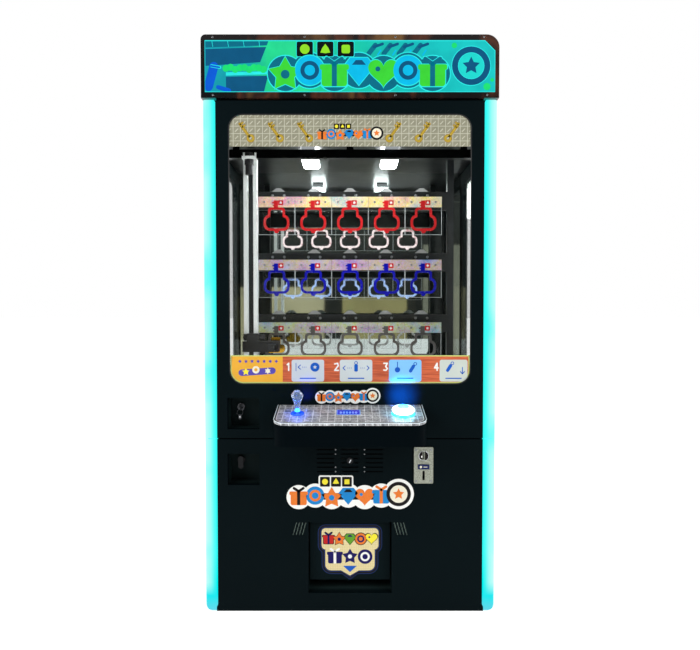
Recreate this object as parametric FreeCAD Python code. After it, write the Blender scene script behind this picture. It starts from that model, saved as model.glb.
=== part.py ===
import FreeCAD, Part
import math
import os

# Key push prize machine: a free-standing glazed cabinet with two front doors, a lit header,
# a joystick shelf, a travelling key behind the glass and three rows of plates with key holes.
# Millimetres. Origin on the floor under the centre of the whole box. X right, Y back, Z up.

V = FreeCAD.Vector

# --- driving sizes -------------------------------------------------------------------------
BODY_WIDTH = 985.0          # over the two corner lights
BODY_TOP = 1732.0           # top of the roof, where the header starts
FACE_Y = -290.0             # front of the doors
BACK_Y = 440.0              # back of the rear panel
FOOT_HEIGHT = 12.0
SHELL = 3.0                 # sheet of doors, header, control box
FIT = 0.05                  # radial clearance of every pin and shaft
GAP = 0.5                   # clearance of flat sliding faces
SHEET = 2.0                 # light inner sheet

# --- cabinet -------------------------------------------------------------------------------
SIDE_THICK = 18.0
LIGHT_WIDTH = 37.5
LIGHT_DEPTH = 38.0
LIGHT_WALL = 3.0
JAMB_WIDTH = 50.0
JAMB_SHEET = 3.0
JAMB_DEPTH = 30.0
ANGLE = 30.0
REAR_THICK = 15.0
TRAY_THICK = 3.0
FOOT_R = 22.5
FOOT_STEM_R = 6.0
FOOT_INSET = 60.0
SIDE_GLASS_THICK = 5.0
SIDE_WINDOW_FRONT = 90.0    # from door face to the front edge of a side window
SIDE_WINDOW_DEPTH = 420.0
SIDE_WINDOW_LOW = 800.0
SIDE_WINDOW_TOP = 1550.0
CEILING_Z = 1606.0
CEILING_THICK = 12.0
LAMP_THICK = 14.0
FLOOR_Z = 772.0             # top of the chamber floor
FLOOR_THICK = 15.0

# --- header --------------------------------------------------------------------------------
HEADER_WIDTH = 990.0
HEADER_HEIGHT = 208.0
HEADER_DEPTH = 130.0
HEADER_PROUD = 10.0
HEADER_FACE_MARGIN = 13.5
HEADER_FACE_LIP = 19.0
HEADER_CHAMFER = 34.0
HEADER_R_LEFT = 16.0
HEADER_R_RIGHT = 42.0
HEADER_SCREW_X = (150.0, 455.0)

# --- doors ---------------------------------------------------------------------------------
DOOR_GAP = 5.0
DOOR_DEPTH = 36.0
SEAM_Z = 592.0
SEAM_GAP = 4.0
LOWER_DOOR_Z = 15.0
UPPER_DOOR_TOP = 1727.0
PIVOT_INSET = 6.0           # hinge pin from the door's edge
PIVOT_DEPTH = 8.0           # hinge pin from the door's face
PIVOT_R = 3.0
HINGE_HEIGHT = 30.0
HINGE_END = 110.0           # hinge centre from a door's end
WINDOW_HALF = 407.5
WINDOW_LOW = 777.0
WINDOW_TOP = 1683.0
WINDOW_R = 48.0
WINDOW_LAP = 15.0
GLASS_THICK = 5.0
POCKET_LEFT = -415.0
POCKET_WIDTH = 108.0
POCKET_HEIGHT = 107.0
POCKET_DEPTH = 73.0
UPPER_POCKET_Z = 624.0
LOWER_POCKET_Z = 434.0

# --- plates, beams and the travelling key --------------------------------------------------
PLATE_Y = -60.0             # front of the plates
PLATE_THICK = 5.0
PLATE_PITCH = 137.0
PLATE_GAP = 1.0
PLATE_HEIGHT = 141.0
COLUMNS = 5
ROW_TOPS = (1449.0, 1215.0, 981.0)
STRIP_HEIGHT = 39.0
STRIP_THICK = 1.5
TRIM_THICK = 3.0
TRIM_WIDTH = 9.0
HOLE_DROP = 83.0            # key hole centre below a plate's top
HOLE_WIDTH = 78.0
HOLE_LOW_HEIGHT = 42.0
HOLE_NECK_WIDTH = 46.0
HOLE_HEIGHT = 69.0
KEY_CLEARANCE = 6.0
BEAM_Y = 0.0
BEAM_DEPTH = 25.0
BEAM_RISE = 30.0
BEAM_SHEET = 2.5
POST_HALF = 372.0
POST_WIDTH = 25.0
STANDOFF_R = 4.0
STRIP_SCREW_X = 45.0
MIRROR_Y = 260.0
MIRROR_THICK = 10.0

RAIL_Y = -170.0
RAIL_SIZE = 30.0
RAIL_HALF = 430.0
COLUMN_OFFSET = -78.0       # gantry column beside the key
COLUMN_HALF = 23.0
COLUMN_BAR = 12.0
COLUMN_DEPTH = 35.0
TRUCK_PLATE = 9.5
TRUCK_LIP = 6.5
WHEEL_X_R = 15.0
WHEEL_Z_R = 12.0
WHEEL_GAP = 0.3
CARRIAGE_HEIGHT = 38.0
CARRIAGE_PLATE = 6.0
KEY_BAR = 22.0
KEY_TIP_Y = -75.0
KEY_HEAD = 20.0
KEY_BAR_LENGTH = 140.0

# --- control box ---------------------------------------------------------------------------
BOX_HALF = 243.0
BOX_PROUD = 160.0
BOX_LOW = 600.0
BOX_BACK_TOP = 707.0
BOX_FRONT_TOP = 675.0
BOX_R = 40.0
DECK_THICK = 8.0
DECK_MID = 80.0             # controls' row from the door face
STICK_X = -171.0
STICK_HOLE_R = 15.0
BUTTON_X = 173.0
BUTTON_R = 39.5
BUTTON_BORE = 31.0
BUTTON_TRAVEL = 4.0
PIVOT_DROP = 26.0           # joystick pivot below the deck face
YOKE_HALF = 16.0
YOKE_THICK = 8.0
STICK_PIN_R = 2.0
DISPLAY_HALF = 38.0
DISPLAY_DEPTH = 26.0

# --- lower door fittings -------------------------------------------------------------------
SLOT_ROWS = 6
SLOT_PITCH = 15.0
SLOT_TOP_Z = 555.0
SLOT_LENGTH = 58.5
SLOT_WIDTH = 4.5
SLOT_COLUMN = 83.0
GRILLE_LOCK_Z = 517.5
SPEAKER_R = 66.0
COIN_X = 249.0
COIN_WIDTH = 65.0
COIN_LOW = 441.0
COIN_HEIGHT = 123.0
COIN_THICK = 6.0
COIN_BEZEL_UP = 95.0
COIN_SLOT = (4.0, 26.0)
COIN_BUTTON_UP = 57.0
COIN_BUTTON = (38.0, 16.0)
COIN_RETURN_UP = 27.0
COIN_RETURN = (8.0, 32.0)
MECH_DEPTH = 100.0
HATCH_HALF = 142.0
HATCH_LOW = 63.0
HATCH_HEIGHT = 244.0
HATCH_DEPTH = 180.0
FLAP_CLEAR = 5.0
FLAP_THICK = 4.0
FLAP_HEIGHT = 207.0
FLAP_Y = 28.0               # flap centre behind the door face
FLAP_PIN_R = 2.5
CHUTE_HALF = 150.0
CHUTE_WIDE = 430.0
CHUTE_BACK_Z = 560.0
CHUTE_WALL = 120.0
CHUTE_NECK = 70.0           # length at the hatch's width
CHUTE_FLARE = 80.0          # length over which it widens
CHUTE_LEG_X = 200.0
CHUTE_LEG = 20.0
VENT_LOW = 262.0            # slanted slots beside the hatch
VENT_TOP = 306.0
VENT_LEAN = 12.0
VENT_HALF = 1.6
VENT_PITCH = 10.6
VENTS = 4
CASH_LEFT = 180.0
CASH_RIGHT = 400.0
CASH_BACK = 12.0            # cash box behind the jamb
CASH_DEPTH = 100.0
CASH_TOP = 200.0

# --- rear door -----------------------------------------------------------------------------
REAR_HALF = 300.0
REAR_LOW = 150.0
REAR_TOP = 1250.0
REAR_GAP = 3.0
REAR_DOOR_THICK = 12.0
LOUVRE = 8.0
LOUVRE_PITCH = 24.0
LOUVRES = 6
PANEL_LOUVRE_Z = 1400.0
DOOR_LOUVRE_Z = 950.0
LOCK_R = 9.0
LOCK_HEAD_R = 13.0
CAM_LENGTH = 36.0
CAM_Y = 5.3                 # back of a pocket lock's cam behind the pocket
POCKET_LOCK_UP = 66.0       # lock above the upper pocket's floor
LEVER_LOCK_UP = 70.0

# --- service bay ---------------------------------------------------------------------------
SUPPLY_LEFT = -120.0
SUPPLY_RIGHT = 60.0
SUPPLY_DEPTH = 100.0
SUPPLY_HEIGHT = 50.0
SUPPLY_SLOTS = 7
BOARD_HALF = 130.0
BOARD_LOW = 700.0
BOARD_TOP = 900.0
BOARD_THICK = 10.0
CHIP = 30.0
INLET_X = 345.0
INLET_Z = 72.0
INLET_HALF = 15.0
INLET_HALF_HEIGHT = 12.0

# --- values that follow --------------------------------------------------------------------
BODY_HALF = BODY_WIDTH / 2
FACE_HALF = BODY_HALF - LIGHT_WIDTH
DOOR_HALF = FACE_HALF - DOOR_GAP
DOOR_BACK = FACE_Y + DOOR_DEPTH
SHEET_BACK = FACE_Y + SHELL
JAMB_Y = FACE_Y + LIGHT_DEPTH
INNER_HALF = BODY_HALF - SIDE_THICK
JAMB_HALF = INNER_HALF - JAMB_WIDTH
REAR_Y = BACK_Y - REAR_THICK
TRAY_TOP = FOOT_HEIGHT + TRAY_THICK
ROOF_LOW = BODY_TOP - SIDE_THICK
LOWER_DOOR_TOP = SEAM_Z - SEAM_GAP / 2
UPPER_DOOR_Z = SEAM_Z + SEAM_GAP / 2
PIVOT = V(DOOR_HALF - PIVOT_INSET, FACE_Y + PIVOT_DEPTH, 0)
COLUMN_XS = [(i - (COLUMNS - 1) / 2) * PLATE_PITCH for i in range(COLUMNS)]
HOLE_ZS = [top - HOLE_DROP for top in ROW_TOPS]
KEY_X = COLUMN_XS[0]
KEY_Z = HOLE_ZS[-1]
COLUMN_X = KEY_X + COLUMN_OFFSET
DECK_ANGLE = math.degrees(math.atan2(BOX_BACK_TOP - BOX_FRONT_TOP, BOX_PROUD))
POCKET_RIGHT = POCKET_LEFT + POCKET_WIDTH
LOCK_X = POCKET_LEFT + 35.0
SIDE_WINDOW_Y = FACE_Y + SIDE_WINDOW_FRONT
UPPER_RAIL_Z = CEILING_Z - LAMP_THICK - RAIL_SIZE


# --- shape helpers -------------------------------------------------------------------------
def block(x0, x1, y0, y1, z0, z1):
    return Part.makeBox(x1 - x0, y1 - y0, z1 - z0, V(x0, y0, z0))


def rod(centre, axis, radius, length):
    return Part.makeCylinder(radius, length, centre, axis)


def prism(points, direction):
    wire = Part.makePolygon(list(points) + [points[0]])
    return Part.Face(wire).extrude(direction)


def rounded_front(x0, x1, y0, y1, z0, z1, radius):
    """A block whose four edges along Y are rounded."""
    solid = block(x0, x1, y0, y1, z0, z1)
    edges = [e for e in solid.Edges if abs(e.tangentAt(e.FirstParameter).y) > 0.9]
    return solid.makeFillet(radius, edges)


def union(shapes):
    shapes = list(shapes)
    first = shapes[0]
    return first.fuse(shapes[1:]).removeSplitter() if len(shapes) > 1 else first


def cut(solid, tools):
    return solid.cut(Part.Compound(list(tools)))


def mirrored(shape):
    return shape.mirror(V(0, 0, 0), V(1, 0, 0))


def save(name, *shapes):
    """Write one node; several shapes stay separate solids."""
    solids = [s for shape in shapes for s in shape.Solids]
    whole = solids[0] if len(solids) == 1 else Part.Compound(solids)
    whole.exportStep("parts/" + name + ".step")


# --- cabinet -------------------------------------------------------------------------------
def foot_places():
    xs = (-INNER_HALF + FOOT_INSET, INNER_HALF - FOOT_INSET)
    ys = (JAMB_Y + FOOT_INSET, REAR_Y - FOOT_INSET)
    return [V(x, y, 0) for x in xs for y in ys]


def base_tray():
    tray = block(-INNER_HALF, INNER_HALF, JAMB_Y, REAR_Y, FOOT_HEIGHT, TRAY_TOP)
    holes = [rod(p, V(0, 0, 1), FOOT_STEM_R + 0.3, TRAY_TOP + 1) for p in foot_places()]
    return cut(tray, holes)


def levelling_foot(place):
    pad = rod(place, V(0, 0, 1), FOOT_R, 6.0)
    collar = rod(place, V(0, 0, 1), FOOT_STEM_R * 2, FOOT_HEIGHT)
    stem = rod(place, V(0, 0, 1), FOOT_STEM_R, FOOT_HEIGHT + 28.0)
    nut = rod(place + V(0, 0, TRAY_TOP), V(0, 0, 1), FOOT_STEM_R * 1.7, 10.0)
    return union([pad, collar, stem, nut])


def cabinet_frame():
    """Folded door jamb with a middle rail, and angle uprights and ties behind it."""
    jamb = block(-INNER_HALF, INNER_HALF, JAMB_Y, JAMB_Y + JAMB_SHEET, TRAY_TOP, ROOF_LOW)
    low = block(-JAMB_HALF, JAMB_HALF, JAMB_Y - 1, JAMB_Y + JAMB_DEPTH,
                TRAY_TOP + 25, SEAM_Z - JAMB_WIDTH / 2)
    high = block(-JAMB_HALF, JAMB_HALF, JAMB_Y - 1, JAMB_Y + JAMB_DEPTH,
                 SEAM_Z + JAMB_WIDTH / 2, WINDOW_TOP + 12)
    jamb = cut(jamb, [low, high])
    web = block(INNER_HALF - JAMB_SHEET, INNER_HALF, JAMB_Y, JAMB_Y + JAMB_DEPTH,
                TRAY_TOP, ROOF_LOW)
    shelf = block(-INNER_HALF, INNER_HALF, JAMB_Y, JAMB_Y + JAMB_DEPTH,
                  SEAM_Z - JAMB_SHEET / 2, SEAM_Z + JAMB_SHEET / 2)
    upright = block(INNER_HALF - ANGLE, INNER_HALF, REAR_Y - JAMB_SHEET, REAR_Y,
                    TRAY_TOP, ROOF_LOW)
    leg = block(INNER_HALF - JAMB_SHEET, INNER_HALF, REAR_Y - ANGLE, REAR_Y,
                TRAY_TOP, ROOF_LOW)
    pieces = [jamb, shelf]
    for side in (lambda s: s, mirrored):
        pieces += [side(web), side(upright), side(leg)]
        for z in (TRAY_TOP, SEAM_Z - ANGLE / 2, ROOF_LOW - ANGLE):
            tie = block(INNER_HALF - JAMB_SHEET, INNER_HALF, JAMB_Y, REAR_Y, z, z + ANGLE)
            pieces.append(side(tie))
    return union(pieces)


def side_panel():
    panel = block(INNER_HALF, BODY_HALF, JAMB_Y, BACK_Y, FOOT_HEIGHT, ROOF_LOW)
    window = block(INNER_HALF - 1, BODY_HALF + 1, SIDE_WINDOW_Y,
                   SIDE_WINDOW_Y + SIDE_WINDOW_DEPTH, SIDE_WINDOW_LOW, SIDE_WINDOW_TOP)
    edges = [e for e in window.Edges if abs(e.tangentAt(e.FirstParameter).x) > 0.9]
    return panel.cut(window.makeFillet(30.0, edges))


def side_glass():
    lap = 15.0
    return block(INNER_HALF - SIDE_GLASS_THICK, INNER_HALF, SIDE_WINDOW_Y - lap,
                 SIDE_WINDOW_Y + SIDE_WINDOW_DEPTH + lap,
                 SIDE_WINDOW_LOW - lap, SIDE_WINDOW_TOP + lap)


def rear_panel():
    panel = block(-INNER_HALF, INNER_HALF, REAR_Y, BACK_Y, FOOT_HEIGHT, ROOF_LOW)
    doorway = block(-REAR_HALF, REAR_HALF, REAR_Y - 1, BACK_Y + 1, REAR_LOW, REAR_TOP)
    vents = [slot for x in (-110, 0, 110) for slot in louvres(x, 40, PANEL_LOUVRE_Z)]
    socket = inlet_block(0, REAR_Y - 1, BACK_Y + 1)
    pivot = rear_pivot()
    pins = [rod(pivot + V(0, 0, z), V(0, 0, 1), PIVOT_R, 17.0 + REAR_GAP)
            for z in (REAR_LOW - 2.0, REAR_TOP - 15.0 - REAR_GAP)]
    lugs = [block(-REAR_HALF - 2, pivot.x + 8, pivot.y - 6, BACK_Y, z, z + 5)
            for z in (REAR_LOW - 5, REAR_TOP)]
    return union([cut(panel, [doorway, socket] + vents)] + lugs + pins)


def louvres(x, half, low):
    """Level slots through the back, one above the other."""
    heights = [low + LOUVRE_PITCH * k for k in range(LOUVRES)]
    return [block(x - half, x + half, REAR_Y - 5, BACK_Y + 1, z, z + LOUVRE) for z in heights]


def inlet_block(grow, y0, y1):
    return block(INLET_X - INLET_HALF - grow, INLET_X + INLET_HALF + grow, y0, y1,
                 INLET_Z - INLET_HALF_HEIGHT - grow, INLET_Z + INLET_HALF_HEIGHT + grow)


def rear_pivot():
    return V(-REAR_HALF + 11.0, BACK_Y - 5.0, 0)


def rear_door():
    door = block(-REAR_HALF + REAR_GAP, REAR_HALF - REAR_GAP, BACK_Y - 1 - REAR_DOOR_THICK,
                 BACK_Y - 1, REAR_LOW + REAR_GAP, REAR_TOP - REAR_GAP)
    bore = rod(rear_pivot(), V(0, 0, 1), PIVOT_R + FIT, REAR_TOP)
    lock = rod(rear_lock_place() + V(0, -20, 0), V(0, 1, 0), LOCK_R + FIT, 40)
    return cut(door, [bore, lock] + louvres(0, 60, DOOR_LOUVRE_Z))


def rear_lock_place():
    return V(REAR_HALF - 32.0, BACK_Y - 1.0, (REAR_LOW + REAR_TOP) / 2)


def rear_lock():
    """Key lock of the rear door: head outside, cam inside."""
    face = rear_lock_place()
    axis = V(0, 1, 0)
    head = rod(face + axis * WHEEL_GAP, axis, LOCK_HEAD_R, 11.0 - WHEEL_GAP)
    plug = rod(face - axis * 20, axis, LOCK_R, 25)
    cam = block(face.x - 8, face.x + 8, face.y - 20, face.y - 17, face.z - 8, face.z + 30)
    slit = block(face.x - 0.8, face.x + 0.8, face.y + 8, face.y + 12, face.z - 5, face.z + 5)
    return union([head, plug, cam]).cut(slit)


def lock_plug(face, cam_y, cam_length, key):
    """Turning plug with a head on its face, a cam on its back and, if asked, its key."""
    axis = V(0, 1, 0)
    head = rod(face - axis * 7.0, axis, LOCK_HEAD_R, 7.0 - WHEEL_GAP)
    plug = rod(face - axis * 7.0, axis, LOCK_R, cam_y + 7.0)
    cam = block(face.x - cam_length, face.x + 8, face.y + cam_y - 3, face.y + cam_y,
                face.z - 7, face.z + 7)
    pieces = [head, plug, cam]
    if key:
        blade = block(face.x - 1.2, face.x + 1.2, face.y - 13, face.y - 6,
                      face.z - 4, face.z + 4)
        bow = rod(face + V(-1.2, -24, 0), V(1, 0, 0), 12.0, 2.4)
        pieces += [blade, bow]
    return union(pieces)


def roof_panel():
    return block(-BODY_HALF, BODY_HALF, JAMB_Y, BACK_Y, ROOF_LOW, BODY_TOP)


def corner_light():
    """Lit acrylic corner cover, open to the back, rounded outside and at its foot."""
    low = 4.0
    outer = block(FACE_HALF, BODY_HALF, FACE_Y, JAMB_Y, low, BODY_TOP - 3.0)
    front_edge = [e for e in outer.Edges
                  if e.BoundBox.XMin > BODY_HALF - 0.1 and e.BoundBox.YMax < FACE_Y + 0.1]
    outer = outer.makeFillet(12.0, front_edge)
    inner = block(FACE_HALF + LIGHT_WALL, BODY_HALF - LIGHT_WALL, FACE_Y + LIGHT_WALL,
                  JAMB_Y + 1, low + LIGHT_WALL, BODY_TOP - 3.0 - LIGHT_WALL)
    foot = rod(V(BODY_HALF - 24, FACE_Y - 1, low + 24), V(0, 1, 0), 24, LIGHT_DEPTH + 2)
    corner = block(BODY_HALF - 24, BODY_HALF + 1, FACE_Y - 1, JAMB_Y + 1, low - 1, low + 24)
    return outer.cut(inner).cut(corner.cut(foot))


def ceiling_panel():
    return block(-INNER_HALF + JAMB_SHEET, INNER_HALF - JAMB_SHEET, JAMB_Y + JAMB_SHEET,
                 MIRROR_Y, CEILING_Z, CEILING_Z + CEILING_THICK)


def ceiling_light(x):
    low = CEILING_Z - LAMP_THICK
    bar = block(x - 25, x + 25, FACE_Y + 60, FACE_Y + 330, low, CEILING_Z)
    lower = [e for e in bar.Edges if e.BoundBox.ZMax < low + 0.1 and e.Length > 100]
    return bar.makeFillet(5.0, lower)


def chamber_floor():
    half = INNER_HALF - JAMB_SHEET
    z0 = FLOOR_Z - FLOOR_THICK
    floor = block(-half, half, JAMB_Y + JAMB_SHEET, BEAM_Y + BEAM_DEPTH + 10, z0, FLOOR_Z)
    drop = block(-POST_HALF + 20, POST_HALF - 20, PLATE_Y + 15, 100, z0 - 1, FLOOR_Z + 1)
    return floor.cut(drop)


def back_mirror():
    half = INNER_HALF - JAMB_SHEET
    return block(-half, half, MIRROR_Y, MIRROR_Y + MIRROR_THICK, CHUTE_BACK_Z + 15, CEILING_Z)


def prize_chute():
    """Open trough: wide under the prizes, narrowing to the hatch, on one slope."""
    front = FACE_Y + HATCH_DEPTH + 4.0
    narrow = front + CHUTE_NECK
    wide = narrow + CHUTE_FLARE
    back = MIRROR_Y - 5.0
    slope = (CHUTE_BACK_Z - HATCH_LOW - 3.0) / (back - front)

    def plan(inset):
        half, far = CHUTE_HALF - inset, CHUTE_WIDE - inset
        start = front - 1 if inset else front
        side = [V(half, start, 0), V(half, narrow, 0), V(far, wide, 0), V(far, back - inset, 0)]
        other = [V(-p.x, p.y, 0) for p in reversed(side)]
        return prism(side + other, V(0, 0, 900))

    def band(low, high):
        points = [(y, HATCH_LOW + 3 + (y - front) * slope) for y in (front - 10, back + 10)]
        near, far = points
        corners = [V(-500, near[0], near[1] + low), V(-500, far[0], far[1] + low),
                   V(-500, far[0], far[1] + high), V(-500, near[0], near[1] + high)]
        return prism(corners, V(1000, 0, 0))

    trough = plan(0).common(band(0, CHUTE_WALL))
    hollow = plan(SHEET).common(band(SHEET, CHUTE_WALL + 1))
    legs = [block(x - CHUTE_LEG / 2, x + CHUTE_LEG / 2, back - 3 * CHUTE_LEG,
                  back - 2 * CHUTE_LEG, TRAY_TOP, CHUTE_BACK_Z)
            for x in (-CHUTE_LEG_X, CHUTE_LEG_X)]
    stand = [leg.common(band(-CHUTE_BACK_Z, SHEET / 2)) for leg in legs]
    return union([trough.cut(hollow)] + stand)


# --- header --------------------------------------------------------------------------------
def header_outline(margin_x, low, high, chamfer, y, depth):
    """Front outline with the top right corner cut off."""
    x0, x1 = -HEADER_WIDTH / 2 + margin_x, HEADER_WIDTH / 2 - margin_x
    points = [V(x0, y, low), V(x1, y, low), V(x1, y, high - chamfer),
              V(x1 - chamfer, y, high), V(x0, y, high)]
    return prism(points, V(0, depth, 0))


def marquee_box():
    front = FACE_Y - HEADER_PROUD
    half = HEADER_WIDTH / 2
    top = BODY_TOP + HEADER_HEIGHT
    outer = block(-half, half, front, front + HEADER_DEPTH, BODY_TOP, top)
    for side, radius in ((-half, HEADER_R_LEFT), (half, HEADER_R_RIGHT)):
        edge = [e for e in outer.Edges if abs(e.BoundBox.XMin - side) < 0.01
                and abs(e.BoundBox.XMax - side) < 0.01 and e.BoundBox.ZMin > top - 0.1]
        outer = outer.makeFillet(radius, edge)
    inner = header_outline(SHELL, BODY_TOP + SHELL, top - SHELL, HEADER_CHAMFER,
                           front + SHELL, HEADER_DEPTH - 2 * SHELL)
    opening = header_outline(HEADER_FACE_MARGIN, BODY_TOP + HEADER_FACE_LIP,
                             top - HEADER_FACE_LIP, HEADER_CHAMFER, front - 1, SHELL + 2)
    return cut(outer, [inner, opening])


def marquee_face():
    front = FACE_Y - HEADER_PROUD + SHELL
    top = BODY_TOP + HEADER_HEIGHT
    margin = SHELL + 1.0
    lip = HEADER_FACE_LIP - 12.0
    return header_outline(margin, BODY_TOP + lip, top - lip, HEADER_CHAMFER, front, 5.0)


def pan_head(place, radius, height):
    head = rod(place, V(0, -1, 0), radius, height)
    return head.makeFillet(height * 0.45, [e for e in head.Edges
                                          if e.BoundBox.YMax < place.y - height + 0.01])


def panel_screws():
    screws = []
    front = FACE_Y - HEADER_PROUD
    for x in HEADER_SCREW_X:
        for z in (BODY_TOP + 9.0, BODY_TOP + HEADER_HEIGHT - 9.0):
            if x == HEADER_SCREW_X[-1] and z > BODY_TOP + HEADER_FACE_LIP:
                screws.append(pan_head(V(-x, front, z), 3.5, 2.0))
                screws.append(pan_head(V(x - 12, front, z), 3.5, 2.0))
            else:
                screws += [pan_head(V(s * x, front, z), 3.5, 2.0) for s in (-1, 1)]
    for top in ROW_TOPS:
        for x in COLUMN_XS:
            for s in (-1, 1):
                place = V(x + s * STRIP_SCREW_X, PLATE_Y - STRIP_THICK, top - STRIP_HEIGHT / 2)
                screws.append(pan_head(place, 4.0, 2.5))
                bolt = V(x + s * STRIP_SCREW_X / 2, BEAM_Y, top + BEAM_RISE / 2)
                screws.append(pan_head(bolt, 5.0, 4.0))
    return screws


# --- plates with key holes -----------------------------------------------------------------
def key_profile(x, z, grow, y, depth):
    """Key bow outline: a wide rounded foot under a narrower rounded neck."""
    low = z - HOLE_HEIGHT / 2 - grow
    foot = rounded_front(x - HOLE_WIDTH / 2 - grow, x + HOLE_WIDTH / 2 + grow, y, y + depth,
                         low, low + HOLE_LOW_HEIGHT + 2 * grow, 17.0 + 0.7 * grow)
    neck = rounded_front(x - HOLE_NECK_WIDTH / 2 - grow, x + HOLE_NECK_WIDTH / 2 + grow,
                         y, y + depth, low + 6, z + HOLE_HEIGHT / 2 + grow, 8.0 + 0.6 * grow)
    return union([foot, neck])


def key_plate(x, top):
    half = (PLATE_PITCH - PLATE_GAP) / 2
    plate = block(x - half, x + half, PLATE_Y, PLATE_Y + PLATE_THICK, top - PLATE_HEIGHT, top)
    return plate.cut(key_profile(x, top - HOLE_DROP, 0.0, PLATE_Y - 1, PLATE_THICK + 2))


def header_strip(x, top):
    half = (PLATE_PITCH - PLATE_GAP) / 2
    return block(x - half, x + half, PLATE_Y - STRIP_THICK, PLATE_Y, top - STRIP_HEIGHT, top)


def hole_trim(x, top):
    z = top - HOLE_DROP
    y = PLATE_Y - TRIM_THICK
    ring = key_profile(x, z, TRIM_WIDTH, y, TRIM_THICK)
    ring = ring.cut(key_profile(x, z, 0.0, y - 1, TRIM_THICK + 2))
    tip = z - HOLE_HEIGHT / 2 - TRIM_WIDTH
    pointer = prism([V(x - 12, y, tip + 3), V(x + 12, y, tip + 3), V(x + 5, y, tip - 9),
                     V(x - 5, y, tip - 9)], V(0, TRIM_THICK, 0))
    return union([ring, pointer])


def plate_beams():
    """Two posts and three channel beams, with a stand-off behind every plate screw."""
    outer = POST_HALF + POST_WIDTH
    y1 = BEAM_Y + BEAM_DEPTH
    posts = [block(POST_HALF, outer, BEAM_Y, y1, FLOOR_Z, CEILING_Z)]
    posts.append(mirrored(posts[0]))
    pieces = list(posts)
    for top in ROW_TOPS:
        low, high = top - STRIP_HEIGHT, top + BEAM_RISE
        beam = block(-POST_HALF, POST_HALF, BEAM_Y, y1, low, high)
        hollow = block(-POST_HALF - 1, POST_HALF + 1, BEAM_Y + BEAM_SHEET, y1 + 1,
                       low + BEAM_SHEET, high - BEAM_SHEET)
        pieces.append(beam.cut(hollow))
        for x in COLUMN_XS:
            for s in (-1, 1):
                place = V(x + s * STRIP_SCREW_X, PLATE_Y + PLATE_THICK, top - STRIP_HEIGHT / 2)
                pieces.append(rod(place, V(0, 1, 0), STANDOFF_R,
                                  BEAM_Y - PLATE_Y - PLATE_THICK + BEAM_SHEET))
    return union(pieces)


def prize_hook(x, top):
    z = top + BEAM_RISE
    wedge = prism([V(x - 26, BEAM_Y + 2, z), V(x + 26, BEAM_Y + 2, z),
                   V(x + 8, BEAM_Y + 2, z + 14), V(x - 8, BEAM_Y + 2, z + 14)],
                  V(0, BEAM_DEPTH - 4, 0))
    peg = rod(V(x, BEAM_Y + BEAM_DEPTH - 8, z + 7), V(0, 1, 0), 3.0, 46.0)
    tip = Part.makeSphere(4.5, peg.BoundBox.Center + V(0, 23, 0))
    return union([wedge, peg, tip])


# --- gantry --------------------------------------------------------------------------------
def x_rails():
    half = RAIL_SIZE / 2
    lower = block(-RAIL_HALF, RAIL_HALF, RAIL_Y - half, RAIL_Y + half,
                  FLOOR_Z, FLOOR_Z + RAIL_SIZE)
    upper = block(-RAIL_HALF, RAIL_HALF, RAIL_Y - half, RAIL_Y + half,
                  UPPER_RAIL_Z, UPPER_RAIL_Z + RAIL_SIZE)
    hangers = [block(x - 12, x + 12, RAIL_Y - half, RAIL_Y + half,
                     UPPER_RAIL_Z + RAIL_SIZE, CEILING_Z) for x in (-400, 0, 400)]
    return [lower, union([upper] + hangers)]


def gantry_column():
    """Two upright bars between a truck on each rail; lips keep the trucks on."""
    y0, y1 = RAIL_Y - COLUMN_DEPTH / 2, RAIL_Y + COLUMN_DEPTH / 2
    half = RAIL_SIZE / 2 + GAP
    low = FLOOR_Z + RAIL_SIZE + GAP
    high = UPPER_RAIL_Z - GAP
    x0, x1 = COLUMN_X - COLUMN_HALF, COLUMN_X + COLUMN_HALF
    pieces = [block(x0, x0 + COLUMN_BAR, y0, y1, low, high),
              block(x1 - COLUMN_BAR, x1, y0, y1, low, high)]
    front = RAIL_Y - half - TRUCK_LIP
    back = RAIL_Y + half + TRUCK_LIP
    bore = rod(V(COLUMN_X, wheel_y(), high - 60), V(0, 0, 1), PIVOT_R + FIT, 100)
    top_plate = block(x0, x1, wheel_y() - 18, back, high - TRUCK_PLATE, high).cut(bore)
    pieces += [top_plate, block(x0, x1, front, back, low, low + TRUCK_PLATE + 8)]
    for z0, z1 in ((low - 18, low), (high, high + 18)):
        pieces.append(block(x0, x1, back - TRUCK_LIP, back, z0, z1))
        for x in (x0, x1 - 6.0):
            pieces.append(block(x, x + 6.0, front, front + TRUCK_LIP, z0, z1))
    return union(pieces)


def wheel_y():
    return RAIL_Y - RAIL_SIZE / 2 - WHEEL_GAP - WHEEL_X_R


def x_wheel():
    plate = UPPER_RAIL_Z - GAP
    place = V(COLUMN_X, wheel_y(), plate + 2.0)
    tyre = rod(place, V(0, 0, 1), WHEEL_X_R, 12.0)
    tyre = tyre.makeChamfer(1.0, [e for e in tyre.Edges if len(e.Vertexes) == 1])
    shaft = rod(place - V(0, 0, 16), V(0, 0, 1), PIVOT_R, 20.0)
    return union([tyre, shaft])


def x_motor():
    top = UPPER_RAIL_Z - GAP - TRUCK_PLATE
    place = V(COLUMN_X, wheel_y(), top)
    gearbox = rod(place, V(0, 0, -1), 16.0, 18.0)
    can = rod(place - V(0, 0, 18), V(0, 0, -1), 13.0, 34.0)
    bore = rod(place + V(0, 0, 1), V(0, 0, -1), PIVOT_R + FIT, 9.0)
    return union([gearbox, can]).cut(bore)


def carriage_faces():
    front = RAIL_Y - COLUMN_DEPTH / 2 - GAP
    back = RAIL_Y + COLUMN_DEPTH / 2 + GAP
    return front, back


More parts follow.
